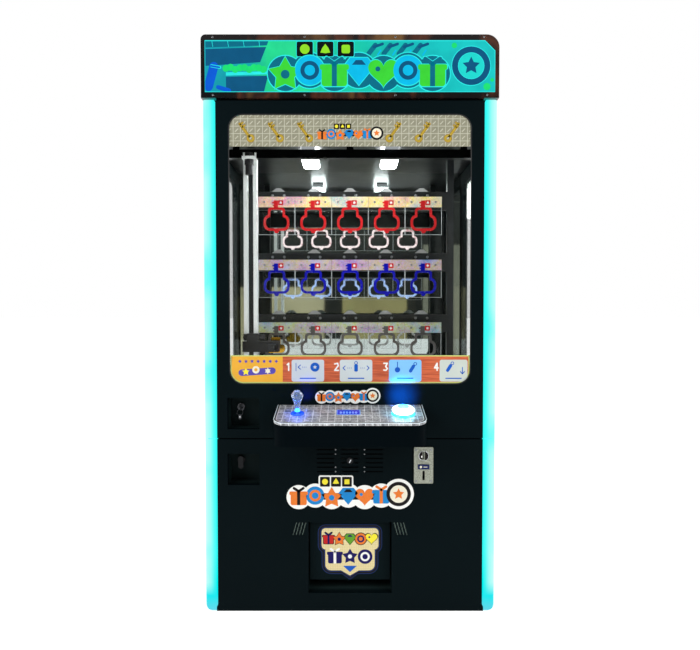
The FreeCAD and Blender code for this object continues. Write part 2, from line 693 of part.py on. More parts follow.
def lift_carriage():
    """Clamp round the column's bars with a square guide for the key bar beside them."""
    front, back = carriage_faces()
    z0, z1 = KEY_Z - CARRIAGE_HEIGHT / 2, KEY_Z + CARRIAGE_HEIGHT / 2
    x0 = COLUMN_X - COLUMN_HALF - 5
    x1 = KEY_X + KEY_BAR / 2 + 10
    guide = COLUMN_X + COLUMN_HALF + GAP
    pieces = [block(x0, x1, front - CARRIAGE_PLATE, front, z0, z1),
              block(x0, x1, back, back + CARRIAGE_PLATE, z0, z1),
              block(guide, x1, front - CARRIAGE_PLATE, back + CARRIAGE_PLATE, z0, z1)]
    half = KEY_BAR / 2 + GAP
    tunnel = block(KEY_X - half, KEY_X + half, front - 20, back + 20,
                   KEY_Z - half, KEY_Z + half)
    return union(pieces).cut(tunnel)


def z_wheel_place():
    y = RAIL_Y - COLUMN_DEPTH / 2 - WHEEL_GAP - WHEEL_Z_R
    return V(COLUMN_X - COLUMN_HALF + 1.0, y, KEY_Z + CARRIAGE_HEIGHT / 2 + 15)


def z_wheel():
    place = z_wheel_place()
    tyre = rod(place, V(1, 0, 0), WHEEL_Z_R, COLUMN_BAR - 2)
    tyre = tyre.makeChamfer(1.0, [e for e in tyre.Edges if len(e.Vertexes) == 1])
    return union([tyre, rod(place, V(1, 0, 0), PIVOT_R, COLUMN_BAR + 8)])


def z_motor():
    place = z_wheel_place() + V(COLUMN_BAR, 0, 0)
    front = carriage_faces()[0]
    base = KEY_Z + CARRIAGE_HEIGHT / 2
    body = block(place.x, place.x + 40, place.y - 13, front, base, place.z + 13)
    can = rod(place + V(40, 0, 0), V(1, 0, 0), 10.0, 22.0)
    bore = rod(place - V(1, 0, 0), V(1, 0, 0), PIVOT_R + FIT, 10.0)
    return union([body, can]).cut(bore)


def key_bar():
    half = KEY_BAR / 2
    end = KEY_TIP_Y - KEY_HEAD
    return block(KEY_X - half, KEY_X + half, end - KEY_BAR_LENGTH, end,
                 KEY_Z - half, KEY_Z + half)


def key_head():
    return key_profile(KEY_X, KEY_Z, -KEY_CLEARANCE, KEY_TIP_Y - KEY_HEAD, KEY_HEAD)


# --- doors ---------------------------------------------------------------------------------
def hinge_heights(low, high):
    return (low + HINGE_END, high - HINGE_END)


def door_shell(low, high):
    """Folded tray open to the back, notched for the hinge leaves, with pin knuckles."""
    tray = block(-DOOR_HALF, DOOR_HALF, FACE_Y, DOOR_BACK, low, high)
    hollow = block(-DOOR_HALF + SHELL, DOOR_HALF - SHELL, SHEET_BACK, DOOR_BACK + 1,
                   low + SHELL, high - SHELL)
    tray = tray.cut(hollow)
    knuckles = []
    for z in hinge_heights(low, high):
        reach = HINGE_HEIGHT / 2 + 3.0
        notch = block(DOOR_HALF - SHELL - 1, DOOR_HALF + 1, SHEET_BACK, DOOR_BACK + 1,
                      z - reach, z + reach)
        tray = tray.cut(notch)
        for z0 in (z - reach - 15.0, z + reach):
            knuckles.append(block(PIVOT.x - 6, DOOR_HALF - SHELL, SHEET_BACK, PIVOT.y + 6,
                                  z0, z0 + 15.0))
    bores = [rod(PIVOT + V(0, 0, z - 40), V(0, 0, 1), PIVOT_R + FIT, 80)
             for z in hinge_heights(low, high)]
    return cut(union([tray] + knuckles), bores)


def hinge_leaf(z):
    half = HINGE_HEIGHT / 2
    pin = rod(PIVOT + V(0, 0, z - half - 16), V(0, 0, 1), PIVOT_R, HINGE_HEIGHT + 32)
    knuckle = rod(PIVOT + V(0, 0, z - half), V(0, 0, 1), 4.5, HINGE_HEIGHT)
    leaf = block(PIVOT.x - 1.5, PIVOT.x + 1.5, PIVOT.y, JAMB_Y, z - half, z + half)
    foot = block(PIVOT.x - 18, PIVOT.x + 1.5, JAMB_Y - 2, JAMB_Y, z - half, z + half)
    return union([pin, knuckle, leaf, foot])


def lock_pocket(low):
    """Pressed pan set into a door, open to the front."""
    back = FACE_Y + POCKET_DEPTH
    outer = block(POCKET_LEFT - SHEET, POCKET_RIGHT + SHEET, SHEET_BACK, back + SHEET,
                  low - SHEET, low + POCKET_HEIGHT + SHEET)
    space = block(POCKET_LEFT, POCKET_RIGHT, FACE_Y - 1, back, low, low + POCKET_HEIGHT)
    return outer, space


def pocket_lock_face(low, up):
    return V(LOCK_X, FACE_Y + POCKET_DEPTH, low + up)


def upper_door():
    low = UPPER_POCKET_Z
    outer, space = lock_pocket(low)
    window = rounded_front(-WINDOW_HALF, WINDOW_HALF, FACE_Y - 1, SHEET_BACK + 1,
                           WINDOW_LOW, WINDOW_TOP, WINDOW_R)
    bore = rod(pocket_lock_face(low, POCKET_LOCK_UP) - V(0, 1, 0), V(0, 1, 0), LOCK_R + FIT, 6)
    shell = union([door_shell(UPPER_DOOR_Z, UPPER_DOOR_TOP), outer])
    return cut(shell, [window, space, bore])


def window_glass():
    half = WINDOW_HALF + WINDOW_LAP
    return rounded_front(-half, half, SHEET_BACK, SHEET_BACK + GLASS_THICK,
                         WINDOW_LOW - WINDOW_LAP, WINDOW_TOP + WINDOW_LAP, WINDOW_R)


def hatch_tunnel():
    half, top = HATCH_HALF, HATCH_LOW + HATCH_HEIGHT
    outer = block(-half - SHEET, half + SHEET, SHEET_BACK, FACE_Y + HATCH_DEPTH,
                  HATCH_LOW - SHEET, top + SHEET)
    space = block(-half, half, FACE_Y - 1, FACE_Y + HATCH_DEPTH + 1, HATCH_LOW, top)
    pins = rod(flap_pivot() - V(half + 10, 0, 0), V(1, 0, 0), FLAP_PIN_R + FIT, 2 * half + 20)
    return outer, space, pins


def flap_pivot():
    top = HATCH_LOW + HATCH_HEIGHT
    return V(0, FACE_Y + FLAP_Y, top - 7.0)


def slanted_vents():
    """Four short slanted slots high on each side of the prize hatch."""
    vents = []
    for k in range(VENTS):
        x = HATCH_HALF + 8.0 + VENT_PITCH * k
        foot = x + VENT_LEAN
        points = [V(x - VENT_HALF, FACE_Y - 1, VENT_TOP), V(x + VENT_HALF, FACE_Y - 1, VENT_TOP),
                  V(foot + VENT_HALF, FACE_Y - 1, VENT_LOW),
                  V(foot - VENT_HALF, FACE_Y - 1, VENT_LOW)]
        slot = prism(points, V(0, SHELL + 2, 0))
        vents += [slot, mirrored(slot)]
    return vents


def lower_door():
    pan, pocket = lock_pocket(LOWER_POCKET_Z)
    tunnel, space, pins = hatch_tunnel()
    face = pocket_lock_face(LOWER_POCKET_Z, LEVER_LOCK_UP) - V(0, 1, 0)
    tools = [pocket, space, pins, rod(face, V(0, 1, 0), LOCK_R + FIT, 6)]
    for row in range(SLOT_ROWS):
        z = SLOT_TOP_Z - row * SLOT_PITCH
        for column in (-1, 0, 1):
            x = column * SLOT_COLUMN
            middle = column == 0 and abs(z - GRILLE_LOCK_Z) < SLOT_PITCH
            spans = ((-1, -0.45), (0.45, 1)) if middle else ((-1, 1),)
            for a, b in spans:
                tools.append(block(x + a * SLOT_LENGTH / 2, x + b * SLOT_LENGTH / 2,
                                   FACE_Y - 1, SHEET_BACK + 1,
                                   z - SLOT_WIDTH / 2, z + SLOT_WIDTH / 2))
    tools.append(rod(V(0, FACE_Y - 1, GRILLE_LOCK_Z), V(0, 1, 0), LOCK_R + FIT, 20))
    tools.append(block(COIN_X - COIN_WIDTH / 2 + 7, COIN_X + COIN_WIDTH / 2 - 7, FACE_Y - 1,
                       SHEET_BACK + 1, COIN_LOW + 7, COIN_LOW + COIN_HEIGHT - 7))
    shell = union([door_shell(LOWER_DOOR_Z, LOWER_DOOR_TOP), pan, tunnel])
    return cut(shell, tools + slanted_vents())


def upper_lock():
    face = pocket_lock_face(UPPER_POCKET_Z, POCKET_LOCK_UP)
    return lock_plug(face, CAM_Y, CAM_LENGTH, True)


def lower_lock():
    """Turning plug with a flat lever hanging from its head."""
    face = pocket_lock_face(LOWER_POCKET_Z, LEVER_LOCK_UP)
    plain = lock_plug(face, CAM_Y, CAM_LENGTH, False)
    lever = rounded_front(face.x - 9, face.x + 9, face.y - 19, face.y - 6,
                          face.z - 28, face.z + 15, 8.0)
    return union([plain, lever])


def prize_flap():
    pivot = flap_pivot()
    half = HATCH_HALF - FLAP_CLEAR
    top = pivot.z + 5.0
    sheet = block(-half, half, pivot.y - FLAP_THICK / 2, pivot.y + FLAP_THICK / 2,
                  top - FLAP_HEIGHT, top)
    roll = rod(pivot - V(half, 0, 0), V(1, 0, 0), 5.0, 2 * half)
    length = 2 * HATCH_HALF + SHEET
    pin = rod(pivot - V(length / 2, 0, 0), V(1, 0, 0), FLAP_PIN_R, length)
    return union([sheet, roll, pin])


def grille_lock():
    face = V(0, FACE_Y, GRILLE_LOCK_Z)
    head = rod(face - V(0, 3.3, 0), V(0, 1, 0), LOCK_R + 2, 3.0)
    plug = rod(face - V(0, 3.3, 0), V(0, 1, 0), LOCK_R, 16.0)
    slit = block(-0.8, 0.8, face.y - 4, face.y, face.z - 4, face.z + 4)
    cam = block(-6, 20, face.y + 9.7, face.y + 12.7, face.z - 6, face.z + 6)
    return union([head, plug, cam]).cut(slit)


def speaker():
    """Frame ring on the door with a cone and magnet behind, clear of the centre lock."""
    y0 = SHEET_BACK
    points = [(SPEAKER_R, 0), (SPEAKER_R, 4), (SPEAKER_R - 12, 6), (34, 36), (34, 60), (0, 60),
              (0, 34), (22, 30), (SPEAKER_R - 14, 3), (SPEAKER_R - 10, 0)]
    section = [V(r, y0 + y, 0) for r, y in points]
    wire = Part.makePolygon(section + [section[0]])
    solid = Part.Face(wire).revolve(V(0, 0, 0), V(0, 1, 0), 360)
    solid.translate(V(0, 0, GRILLE_LOCK_Z))
    return solid


def coin_cut(up, width, height, y0, y1):
    z = COIN_LOW + up
    return block(COIN_X - width / 2, COIN_X + width / 2, y0, y1, z - height / 2, z + height / 2)


def coin_faceplate():
    half = COIN_WIDTH / 2
    front = FACE_Y - COIN_THICK
    plate = rounded_front(COIN_X - half, COIN_X + half, front, FACE_Y,
                          COIN_LOW, COIN_LOW + COIN_HEIGHT, 4.0)
    bezel = rod(V(COIN_X, front - 3, COIN_LOW + COIN_BEZEL_UP), V(0, 1, 0), 20.0, 5.0)
    solid = union([plate, bezel])
    tools = [coin_cut(COIN_BEZEL_UP, COIN_SLOT[0], COIN_SLOT[1], front - 5, FACE_Y + 1),
             coin_cut(COIN_RETURN_UP, COIN_RETURN[0], COIN_RETURN[1], front - 5, FACE_Y + 1),
             coin_cut(COIN_BUTTON_UP, COIN_BUTTON[0], COIN_BUTTON[1], front - 5, FACE_Y + 1)]
    return cut(solid, tools)


def coin_mech():
    half = COIN_WIDTH / 2 - 9
    box = block(COIN_X - half, COIN_X + half, FACE_Y, FACE_Y + MECH_DEPTH,
                COIN_LOW + 9, COIN_LOW + COIN_HEIGHT - 9)
    y1 = FACE_Y + 20
    tools = [coin_cut(COIN_BEZEL_UP, COIN_SLOT[0], COIN_SLOT[1], FACE_Y - 1, y1),
             coin_cut(COIN_RETURN_UP, COIN_RETURN[0], COIN_RETURN[1], FACE_Y - 1, y1),
             coin_cut(COIN_BUTTON_UP, COIN_BUTTON[0] + 2, COIN_BUTTON[1] + 2, FACE_Y - 1, y1)]
    return cut(box, tools)


def coin_button():
    front = FACE_Y - COIN_THICK
    return coin_cut(COIN_BUTTON_UP, COIN_BUTTON[0] - 2 * FIT, COIN_BUTTON[1] - 2 * FIT,
                    front - 3.5, FACE_Y + 6)


def cash_box():
    y0 = JAMB_Y + CASH_BACK
    y1 = y0 + CASH_DEPTH
    outer = block(CASH_LEFT, CASH_RIGHT, y0, y1, TRAY_TOP, CASH_TOP)
    inner = block(CASH_LEFT + SHEET, CASH_RIGHT - SHEET, y0 + SHEET, y1 - SHEET,
                  TRAY_TOP + SHEET, CASH_TOP - SHEET)
    slot = block(COIN_X - 30, COIN_X + 30, y0 + 20, y0 + 70, CASH_TOP - 10, CASH_TOP + 10)
    return cut(outer, [inner, slot])


# --- control box ---------------------------------------------------------------------------
def box_plan(inset):
    """Plan of the shelf: straight at the door, two large front corners."""
    front = FACE_Y - BOX_PROUD + inset
    solid = block(-BOX_HALF + inset, BOX_HALF - inset, front, FACE_Y, BOX_LOW, BOX_BACK_TOP + 40)
    edges = [e for e in solid.Edges if e.BoundBox.YMax < front + 0.1
             and abs(e.tangentAt(e.FirstParameter).z) > 0.9]
    return solid.makeFillet(BOX_R - inset, edges)


def deck_band(low, high):
    """Slab between two planes parallel to the deck, heights taken down from its face."""
    front = FACE_Y - BOX_PROUD
    rise = (BOX_BACK_TOP - BOX_FRONT_TOP) / BOX_PROUD
    corners = []
    for y, drop in ((front - 10, low), (FACE_Y + 10, low), (FACE_Y + 10, high),
                    (front - 10, high)):
        z = BOX_FRONT_TOP + (y - front) * rise - drop
        corners.append(V(-BOX_HALF - 10, y, z))
    return prism(corners, V(2 * BOX_HALF + 20, 0, 0))


def on_deck(shape, x, back):
    """Turn a shape built on the XY plane square to the deck and set it at its place."""
    placed = shape.copy()
    placed.rotate(V(0, 0, 0), V(1, 0, 0), DECK_ANGLE)
    rise = (BOX_BACK_TOP - BOX_FRONT_TOP) / BOX_PROUD
    placed.translate(V(x, FACE_Y - back, BOX_BACK_TOP - back * rise))
    return placed


def control_box():
    outer = box_plan(0).common(deck_band(DECK_THICK, 300))
    space = block(-BOX_HALF, BOX_HALF, FACE_Y - BOX_PROUD, FACE_Y - SHELL,
                  BOX_LOW + SHELL, BOX_BACK_TOP + 40)
    inner = box_plan(SHELL).common(deck_band(DECK_THICK - 20, 300)).common(space)
    return outer.cut(inner)


def deck_holes():
    up = V(0, 0, 1)
    stick = on_deck(rod(V(0, 0, -40), up, STICK_HOLE_R, 80), STICK_X, DECK_MID)
    button = on_deck(rod(V(0, 0, -40), up, BUTTON_BORE + 2.0 + GAP, 80), BUTTON_X, DECK_MID)
    return [stick, button, display_block(-DECK_THICK - 1, 5, 0.0)]


def display_block(low, high, inset):
    shape = block(-DISPLAY_HALF + inset, DISPLAY_HALF - inset, -DISPLAY_DEPTH / 2 + inset,
                  DISPLAY_DEPTH / 2 - inset, low, high)
    return on_deck(shape, -5.0, DECK_MID - 5)


def control_deck():
    return cut(box_plan(0).common(deck_band(0, DECK_THICK)), deck_holes())


def credit_display():
    window = display_block(-DECK_THICK, -1.0, 0.2)
    board = on_deck(block(-DISPLAY_HALF - 6, DISPLAY_HALF + 6, -DISPLAY_DEPTH / 2 - 6,
                          DISPLAY_DEPTH / 2 + 6, -DECK_THICK - 3, -DECK_THICK),
                    -5.0, DECK_MID - 5)
    return union([window, board])


def joystick_base():
    half = YOKE_HALF + 12
    case = block(-half, half, -half, half, -PIVOT_DROP - 12, -DECK_THICK)
    cavity = block(-half + 4, half - 4, -half + 4, half - 4, -PIVOT_DROP - 13, -DECK_THICK - 2)
    hole = rod(V(0, 0, -DECK_THICK - 5), V(0, 0, 1), STICK_HOLE_R, 40)
    pins = rod(V(-half - 5, 0, -PIVOT_DROP), V(1, 0, 0), STICK_PIN_R + FIT, 2 * half + 10)
    lip = rod(V(0, 0, -DECK_THICK), V(0, 0, 1), STICK_HOLE_R - 0.2, DECK_THICK + 3.0)
    flange = rod(V(0, 0, 0), V(0, 0, 1), STICK_HOLE_R + 7, 3.0)
    throat = rod(V(0, 0, -20), V(0, 0, 1), STICK_HOLE_R - 2.5, 40)
    solid = cut(case, [cavity, hole, pins])
    solid = cut(union([solid, lip, flange]), [throat])
    return on_deck(solid, STICK_X, DECK_MID)


def joystick_yoke():
    half = YOKE_HALF
    ring = block(-half, half, -half, half, -PIVOT_DROP - YOKE_THICK / 2,
                 -PIVOT_DROP + YOKE_THICK / 2)
    space = block(-half + 5, half - 5, -half + 5, half - 5, -PIVOT_DROP - 10, -PIVOT_DROP + 10)
    pin = rod(V(-half - 11, 0, -PIVOT_DROP), V(1, 0, 0), STICK_PIN_R, 12)
    bore = rod(V(0, -half - 1, -PIVOT_DROP), V(0, 1, 0), STICK_PIN_R + FIT, 2 * half + 2)
    far = rod(V(half - 1, 0, -PIVOT_DROP), V(1, 0, 0), STICK_PIN_R, 12)
    solid = union([ring.cut(space), pin, far]).cut(bore)
    return on_deck(solid, STICK_X, DECK_MID)


def joystick_stick():
    """Shaft with cross pins in the yoke and a faceted bulb, widest near its top."""
    shaft = rod(V(0, 0, -PIVOT_DROP - 14), V(0, 0, 1), 4.5, PIVOT_DROP + 14 + 40)
    pins = rod(V(0, -YOKE_HALF, -PIVOT_DROP), V(0, 1, 0), STICK_PIN_R, 2 * YOKE_HALF)
    hub = rod(V(0, 0, -PIVOT_DROP - 6), V(0, 0, 1), 7.0, 12.0)
    sides = 10
    rings = [(8.0, 22.0), (12.0, 40.0), (19.5, 60.0), (19.5, 66.0), (10.0, 78.0)]
    wires = []
    for radius, z in rings:
        points = [V(radius * math.cos(2 * math.pi * k / sides),
                    radius * math.sin(2 * math.pi * k / sides), z) for k in range(sides)]
        wires.append(Part.makePolygon(points + [points[0]]))
    bulb = Part.makeLoft(wires, True, True)
    return on_deck(union([shaft, pins, hub, bulb]), STICK_X, DECK_MID)


def button_bezel():
    up = V(0, 0, 1)
    ring = Part.makeCone(BUTTON_R, BUTTON_R - 4, 7.0, V(0, 0, 0), up)
    cup = rod(V(0, 0, -30), up, BUTTON_BORE + 2.0, 31)
    space = rod(V(0, 0, -27), up, BUTTON_BORE, 40)
    return on_deck(union([ring, cup]).cut(space), BUTTON_X, DECK_MID)


def button_dome():
    """Lit plunger: a shallow dome with a raised round cap."""
    up = V(0, 0, 1)
    radius = BUTTON_BORE - 2 * FIT
    skirt = rod(V(0, 0, -27 + BUTTON_TRAVEL + 1), up, radius, 29)
    ball_r = 46.0
    ball = Part.makeSphere(ball_r, V(0, 0, 7 - math.sqrt(ball_r ** 2 - radius ** 2)))
    dome = ball.common(rod(V(0, 0, 6.5), up, radius, 30))
    neck = rod(V(0, 0, 5), up, radius, 2.0)
    cap = rod(V(0, 0, 5), up, 17.5, 17.0)
    cap = cap.makeFillet(3.0, [e for e in cap.Edges if e.BoundBox.ZMin > 21.9])
    return on_deck(union([skirt, neck, dome, cap]), BUTTON_X, DECK_MID)


# --- service bay ---------------------------------------------------------------------------
def power_supply():
    y0, y1 = REAR_Y - 40 - SUPPLY_DEPTH, REAR_Y - 40
    top = TRAY_TOP + SUPPLY_HEIGHT
    box = block(SUPPLY_LEFT, SUPPLY_RIGHT, y0, y1, TRAY_TOP, top)
    starts = [SUPPLY_LEFT + 20 + 20 * k for k in range(SUPPLY_SLOTS)]
    return cut(box, [block(x, x + 10, y0 - 1, y1 + 1, top - 8, top + 1) for x in starts])


def main_board():
    y0 = MIRROR_Y + MIRROR_THICK
    y1 = y0 + BOARD_THICK
    plate = block(-BOARD_HALF, BOARD_HALF, y0, y1, BOARD_LOW, BOARD_TOP)
    chips = [block(x, x + CHIP, y1, y1 + 12, z, z + CHIP)
             for x in (-100, -30, 60) for z in (BOARD_LOW + CHIP, BOARD_LOW + 4 * CHIP)]
    return union([plate] + chips)


def power_inlet():
    """Appliance inlet in the foot of the rear panel: flange, shroud and three blades."""
    flange = inlet_block(6, BACK_Y, BACK_Y + 3)
    shroud = inlet_block(-WHEEL_GAP, REAR_Y - 6, BACK_Y + 1)
    space = inlet_block(-3, REAR_Y - 3, BACK_Y + 4)
    blades = [block(x - 1, x + 1, REAR_Y - 4, BACK_Y - 3, INLET_Z - 4, INLET_Z + 4)
              for x in (INLET_X - 7, INLET_X, INLET_X + 7)]
    return union([union([flange, shroud]).cut(space)] + blades)


def main():
    os.makedirs("parts", exist_ok=True)
    save("base_tray", base_tray())
    save("levelling_feet", *[levelling_foot(p) for p in foot_places()])
    save("cabinet_frame", cabinet_frame())
    save("side_panel_right", side_panel())
    save("side_panel_left", mirrored(side_panel()))
    save("side_glass", side_glass(), mirrored(side_glass()))
    save("rear_panel", rear_panel())
    save("rear_door", rear_door())
    save("rear_lock", rear_lock())
    save("roof_panel", roof_panel())
    save("corner_light_right", corner_light())
    save("corner_light_left", mirrored(corner_light()))
    save("ceiling_panel", ceiling_panel())
    save("ceiling_lights", ceiling_light(-147.0), ceiling_light(147.0))
    save("chamber_floor", chamber_floor())
    save("back_mirror", back_mirror())
    save("prize_chute", prize_chute())
    save("marquee_box", marquee_box())
    save("marquee_face", marquee_face())
    save("panel_screws", *panel_screws())
    for name, top in zip(("top", "middle", "bottom"), ROW_TOPS):
        save("key_plates_" + name, *[key_plate(x, top) for x in COLUMN_XS])
    cells = [(x, top) for top in ROW_TOPS for x in COLUMN_XS]
    save("header_strips", *[header_strip(x, top) for x, top in cells])
    save("hole_trims", *[hole_trim(x, top) for x, top in cells])
    save("prize_hooks", *[prize_hook(x, top) for x, top in cells])
    save("plate_beams", plate_beams())
    save("x_rails", *x_rails())
    save("gantry_column", gantry_column())
    save("x_wheel", x_wheel())
    save("x_motor", x_motor())
    save("lift_carriage", lift_carriage())
    save("z_wheel", z_wheel())
    save("z_motor", z_motor())
    save("key_bar", key_bar())
    save("key_head", key_head())
    leaves = hinge_heights(UPPER_DOOR_Z, UPPER_DOOR_TOP)
    leaves += hinge_heights(LOWER_DOOR_Z, LOWER_DOOR_TOP)
    save("door_hinges", *[hinge_leaf(z) for z in leaves])
    save("upper_door", upper_door())
    save("window_glass", window_glass())
    save("upper_lock", upper_lock())
    save("lower_door", lower_door())
    save("lower_lock", lower_lock())
    save("prize_flap", prize_flap())
    save("grille_lock", grille_lock())
    save("speaker", speaker())
    save("coin_faceplate", coin_faceplate())
    save("coin_mech", coin_mech())
    save("coin_button", coin_button())
    save("cash_box", cash_box())
    save("control_box", control_box())
    save("control_deck", control_deck())
    save("credit_display", credit_display())
    save("joystick_base", joystick_base())
    save("joystick_yoke", joystick_yoke())
    save("joystick_stick", joystick_stick())
    save("button_bezel", button_bezel())
    save("button_dome", button_dome())
    save("power_supply", power_supply())
    save("main_board", main_board())
    save("power_inlet", power_inlet())


main()
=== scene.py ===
import math

import bpy
import numpy as np
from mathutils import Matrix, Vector


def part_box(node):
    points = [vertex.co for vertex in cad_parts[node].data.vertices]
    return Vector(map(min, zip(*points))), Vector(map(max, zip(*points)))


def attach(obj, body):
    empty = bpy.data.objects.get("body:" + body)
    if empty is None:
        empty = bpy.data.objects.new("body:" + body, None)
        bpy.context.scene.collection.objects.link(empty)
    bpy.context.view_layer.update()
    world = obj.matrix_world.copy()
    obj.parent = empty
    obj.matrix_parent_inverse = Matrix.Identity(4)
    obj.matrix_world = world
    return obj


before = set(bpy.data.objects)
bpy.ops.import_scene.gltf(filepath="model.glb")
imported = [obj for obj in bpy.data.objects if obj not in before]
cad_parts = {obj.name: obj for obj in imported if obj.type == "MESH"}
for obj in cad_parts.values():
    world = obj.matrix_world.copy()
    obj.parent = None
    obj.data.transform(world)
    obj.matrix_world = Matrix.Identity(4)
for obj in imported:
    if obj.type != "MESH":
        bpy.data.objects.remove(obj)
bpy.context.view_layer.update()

# ==== Welded frame, base tray and levelling feet ===========================================
# The skeleton of the cabinet: a folded door jamb with angle uprights, black enamelled, on a
# galvanised tray that stands on four screwed feet. All of it is carried over from the frame.


def rgb(red, green, blue):
    """Screen values 0 to 255 to linear light: c/12.92 when dark, else ((c+0.055)/1.055)^2.4."""
    screen = np.array([red, green, blue]) / 255.0
    light = np.where(screen <= 0.04045, screen / 12.92, ((screen + 0.055) / 1.055) ** 2.4)
    return tuple(float(c) for c in light)


def shader_group(name, inputs, outputs):
    """A new shader node group with float, colour and vector sockets by name."""
    tree = bpy.data.node_groups.new(name, "ShaderNodeTree")
    for way, sockets in (("INPUT", inputs), ("OUTPUT", outputs)):
        for label, kind in sockets:
            tree.interface.new_socket(label, in_out=way, socket_type="NodeSocket" + kind)
    return tree, tree.nodes.new("NodeGroupInput"), tree.nodes.new("NodeGroupOutput")


def join(tree, kind, inputs=(), **settings):
    """A new shader node; each input, by name or number, takes a socket or a value."""
    node = tree.nodes.new("ShaderNode" + kind)
    for label, value in settings.items():
        setattr(node, label, value)
    for label, value in dict(inputs).items():
        if isinstance(value, bpy.types.NodeSocket):
            tree.links.new(value, node.inputs[label])
        else:
            node.inputs[label].default_value = value
    return node


def number(tree, kind, *values):
    """The result of a math node of this kind over sockets or numbers."""
    return join(tree, "Math", dict(enumerate(values)), operation=kind).outputs[0]


def here(tree):
    """Object coordinates of the point being shaded."""
    return join(tree, "TexCoord").outputs["Object"]


def surface_grain_group():
    """Colour times 1 + amount*(noise - half), roughness + spread*(noise - half), fine bump."""
    tree, into, out = shader_group(
        "surface_grain",
        [("Color", "Color"), ("Patch Scale", "Float"), ("Patch Amount", "Float"),
         ("Grain Scale", "Float"), ("Grain Height", "Float"), ("Roughness", "Float"),
         ("Roughness Spread", "Float")],
        [("Color", "Color"), ("Roughness", "Float"), ("Normal", "Vector")])
    given = into.outputs
    where = here(tree)
    patch, grain = (join(tree, "TexNoise", {"Vector": where, "Scale": given[scale],
                                                   "Detail": detail}).outputs["Fac"]
                    for scale, detail in (("Patch Scale", 4.0), ("Grain Scale", 3.0)))
    centred = number(tree, "SUBTRACT", patch, 0.5)
    amount = number(tree, "MULTIPLY_ADD", centred, given["Patch Amount"], 1.0)
    tone = join(tree, "VectorMath", {0: given["Color"], "Scale": amount},
                operation="SCALE")
    rough = number(tree, "MULTIPLY_ADD", centred, given["Roughness Spread"],
                   given["Roughness"])
    bump = join(tree, "Bump", {"Distance": 0.001, "Strength": given["Grain Height"],
                                      "Height": grain})
    for label, socket in (("Color", tone.outputs[0]), ("Roughness", rough),
                          ("Normal", bump.outputs[0])):
        tree.links.new(socket, out.inputs[label])
    return tree


SURFACE_GRAIN = surface_grain_group()


def finish(name, colour, roughness, metallic=0.0, patch=(3.0, 0.2), grain=(400.0, 0.1),
           spread=0.15, light=None, **sockets):
    """A Principled material whose colour, roughness and normal come through surface_grain.

    light is the colour and the strength of its own glow.
    """
    material = bpy.data.materials.new(name)
    material.use_nodes = True
    tree = material.node_tree
    shader = tree.nodes["Principled BSDF"]
    group = join(tree, "Group",
                 {"Color": (*colour, 1), "Patch Scale": patch[0], "Patch Amount": patch[1],
                  "Grain Scale": grain[0], "Grain Height": grain[1], "Roughness": roughness,
                  "Roughness Spread": spread}, node_tree=SURFACE_GRAIN, name="grain")
    for given, taken in (("Color", "Base Color"), ("Roughness", "Roughness"),
                         ("Normal", "Normal")):
        tree.links.new(group.outputs[given], shader.inputs[taken])
    shader.inputs["Metallic"].default_value = metallic
    if light:
        shader.inputs["Emission Color"].default_value = (*light[0], 1)
        shader.inputs["Emission Strength"].default_value = light[1]
    for label, value in sockets.items():
        shader.inputs[label.replace("_", " ")].default_value = value
    return material


def tint(material, build):
    """Feed the material's grain group a colour that build(tree) works out."""
    tree = material.node_tree
    colour = build(tree)
    tree.links.new(colour, tree.nodes["grain"].inputs["Color"])
    return material


def wear(material, *names):
    """Give carried-over nodes this finish."""
    for name in names:
        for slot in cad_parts[name].material_slots:
            slot.material = material


def glow(material, strength):
    """Make the colour behind the grain the material's light; its unlit body is dark."""
    tree = material.node_tree
    shader = tree.nodes["Principled BSDF"]
    tree.links.remove(shader.inputs["Base Color"].links[0])
    shader.inputs["Base Color"].default_value = (0.004, 0.004, 0.004, 1)
    tree.links.new(tree.nodes["grain"].outputs["Color"], shader.inputs["Emission Color"])
    shader.inputs["Emission Strength"].default_value = strength
    return material


black_enamel = finish("black_enamel", rgb(20, 24, 25), 0.42, patch=(5, 0.5), grain=(900, 0.12))
galvanised = finish("galvanised", rgb(150, 152, 152), 0.42, 0.9, patch=(60, 0.5),
                    grain=(500, 0.08))
foot_rubber = finish("foot_rubber", rgb(28, 28, 28), 0.8, patch=(40, 0.4), grain=(900, 0.4))
wear(black_enamel, "cabinet_frame", "plate_beams")
wear(galvanised, "base_tray", "cash_box", "power_supply", "prize_chute")
wear(foot_rubber, "levelling_feet", "x_wheel", "z_wheel")

# ==== Side, rear and roof panels ===========================================================
# Sheet-faced panels in black powder coat with a very fine orange peel, screwed to the frame.

SIDES = ((1, "right"), (-1, "left"))
COAT_BLACK = rgb(5, 15, 18)


def coat(name):
    """Black powder coat: dull, with a cloudy tone and a very fine orange peel."""
    return finish(name, COAT_BLACK, 0.5, patch=(2.5, 0.6), grain=(1100, 0.2),
                  Specular_IOR_Level=0.03)


powder_coat = coat("powder_coat")
wear(powder_coat, "side_panel_left", "side_panel_right", "rear_panel", "roof_panel")


def box_of(name):
    low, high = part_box(name)
    return np.array(low), np.array(high)


def disc(u, v, radius, points=32):
    """Circle of the radius about (u, v), anticlockwise."""
    turn = np.arange(points) / points * 2 * math.pi
    return np.stack([u + radius * np.cos(turn), v + radius * np.sin(turn)], 1)


def rounded(u, v, width, height, radius, steps=6):
    """Rectangle centred on (u, v) whose corners are quarter circles of the radius."""
    radius = min(radius, width / 2, height / 2)
    quarter = np.arange(steps + 1) / steps * math.pi / 2
    parts = []
    for k, (su, sv) in enumerate(((1, -1), (1, 1), (-1, 1), (-1, -1))):
        turn = quarter + (k - 1) * math.pi / 2
        centre = np.array([u + su * (width / 2 - radius), v + sv * (height / 2 - radius)])
        parts.append(centre + radius * np.stack([np.cos(turn), np.sin(turn)], 1))
    return np.concatenate(parts)


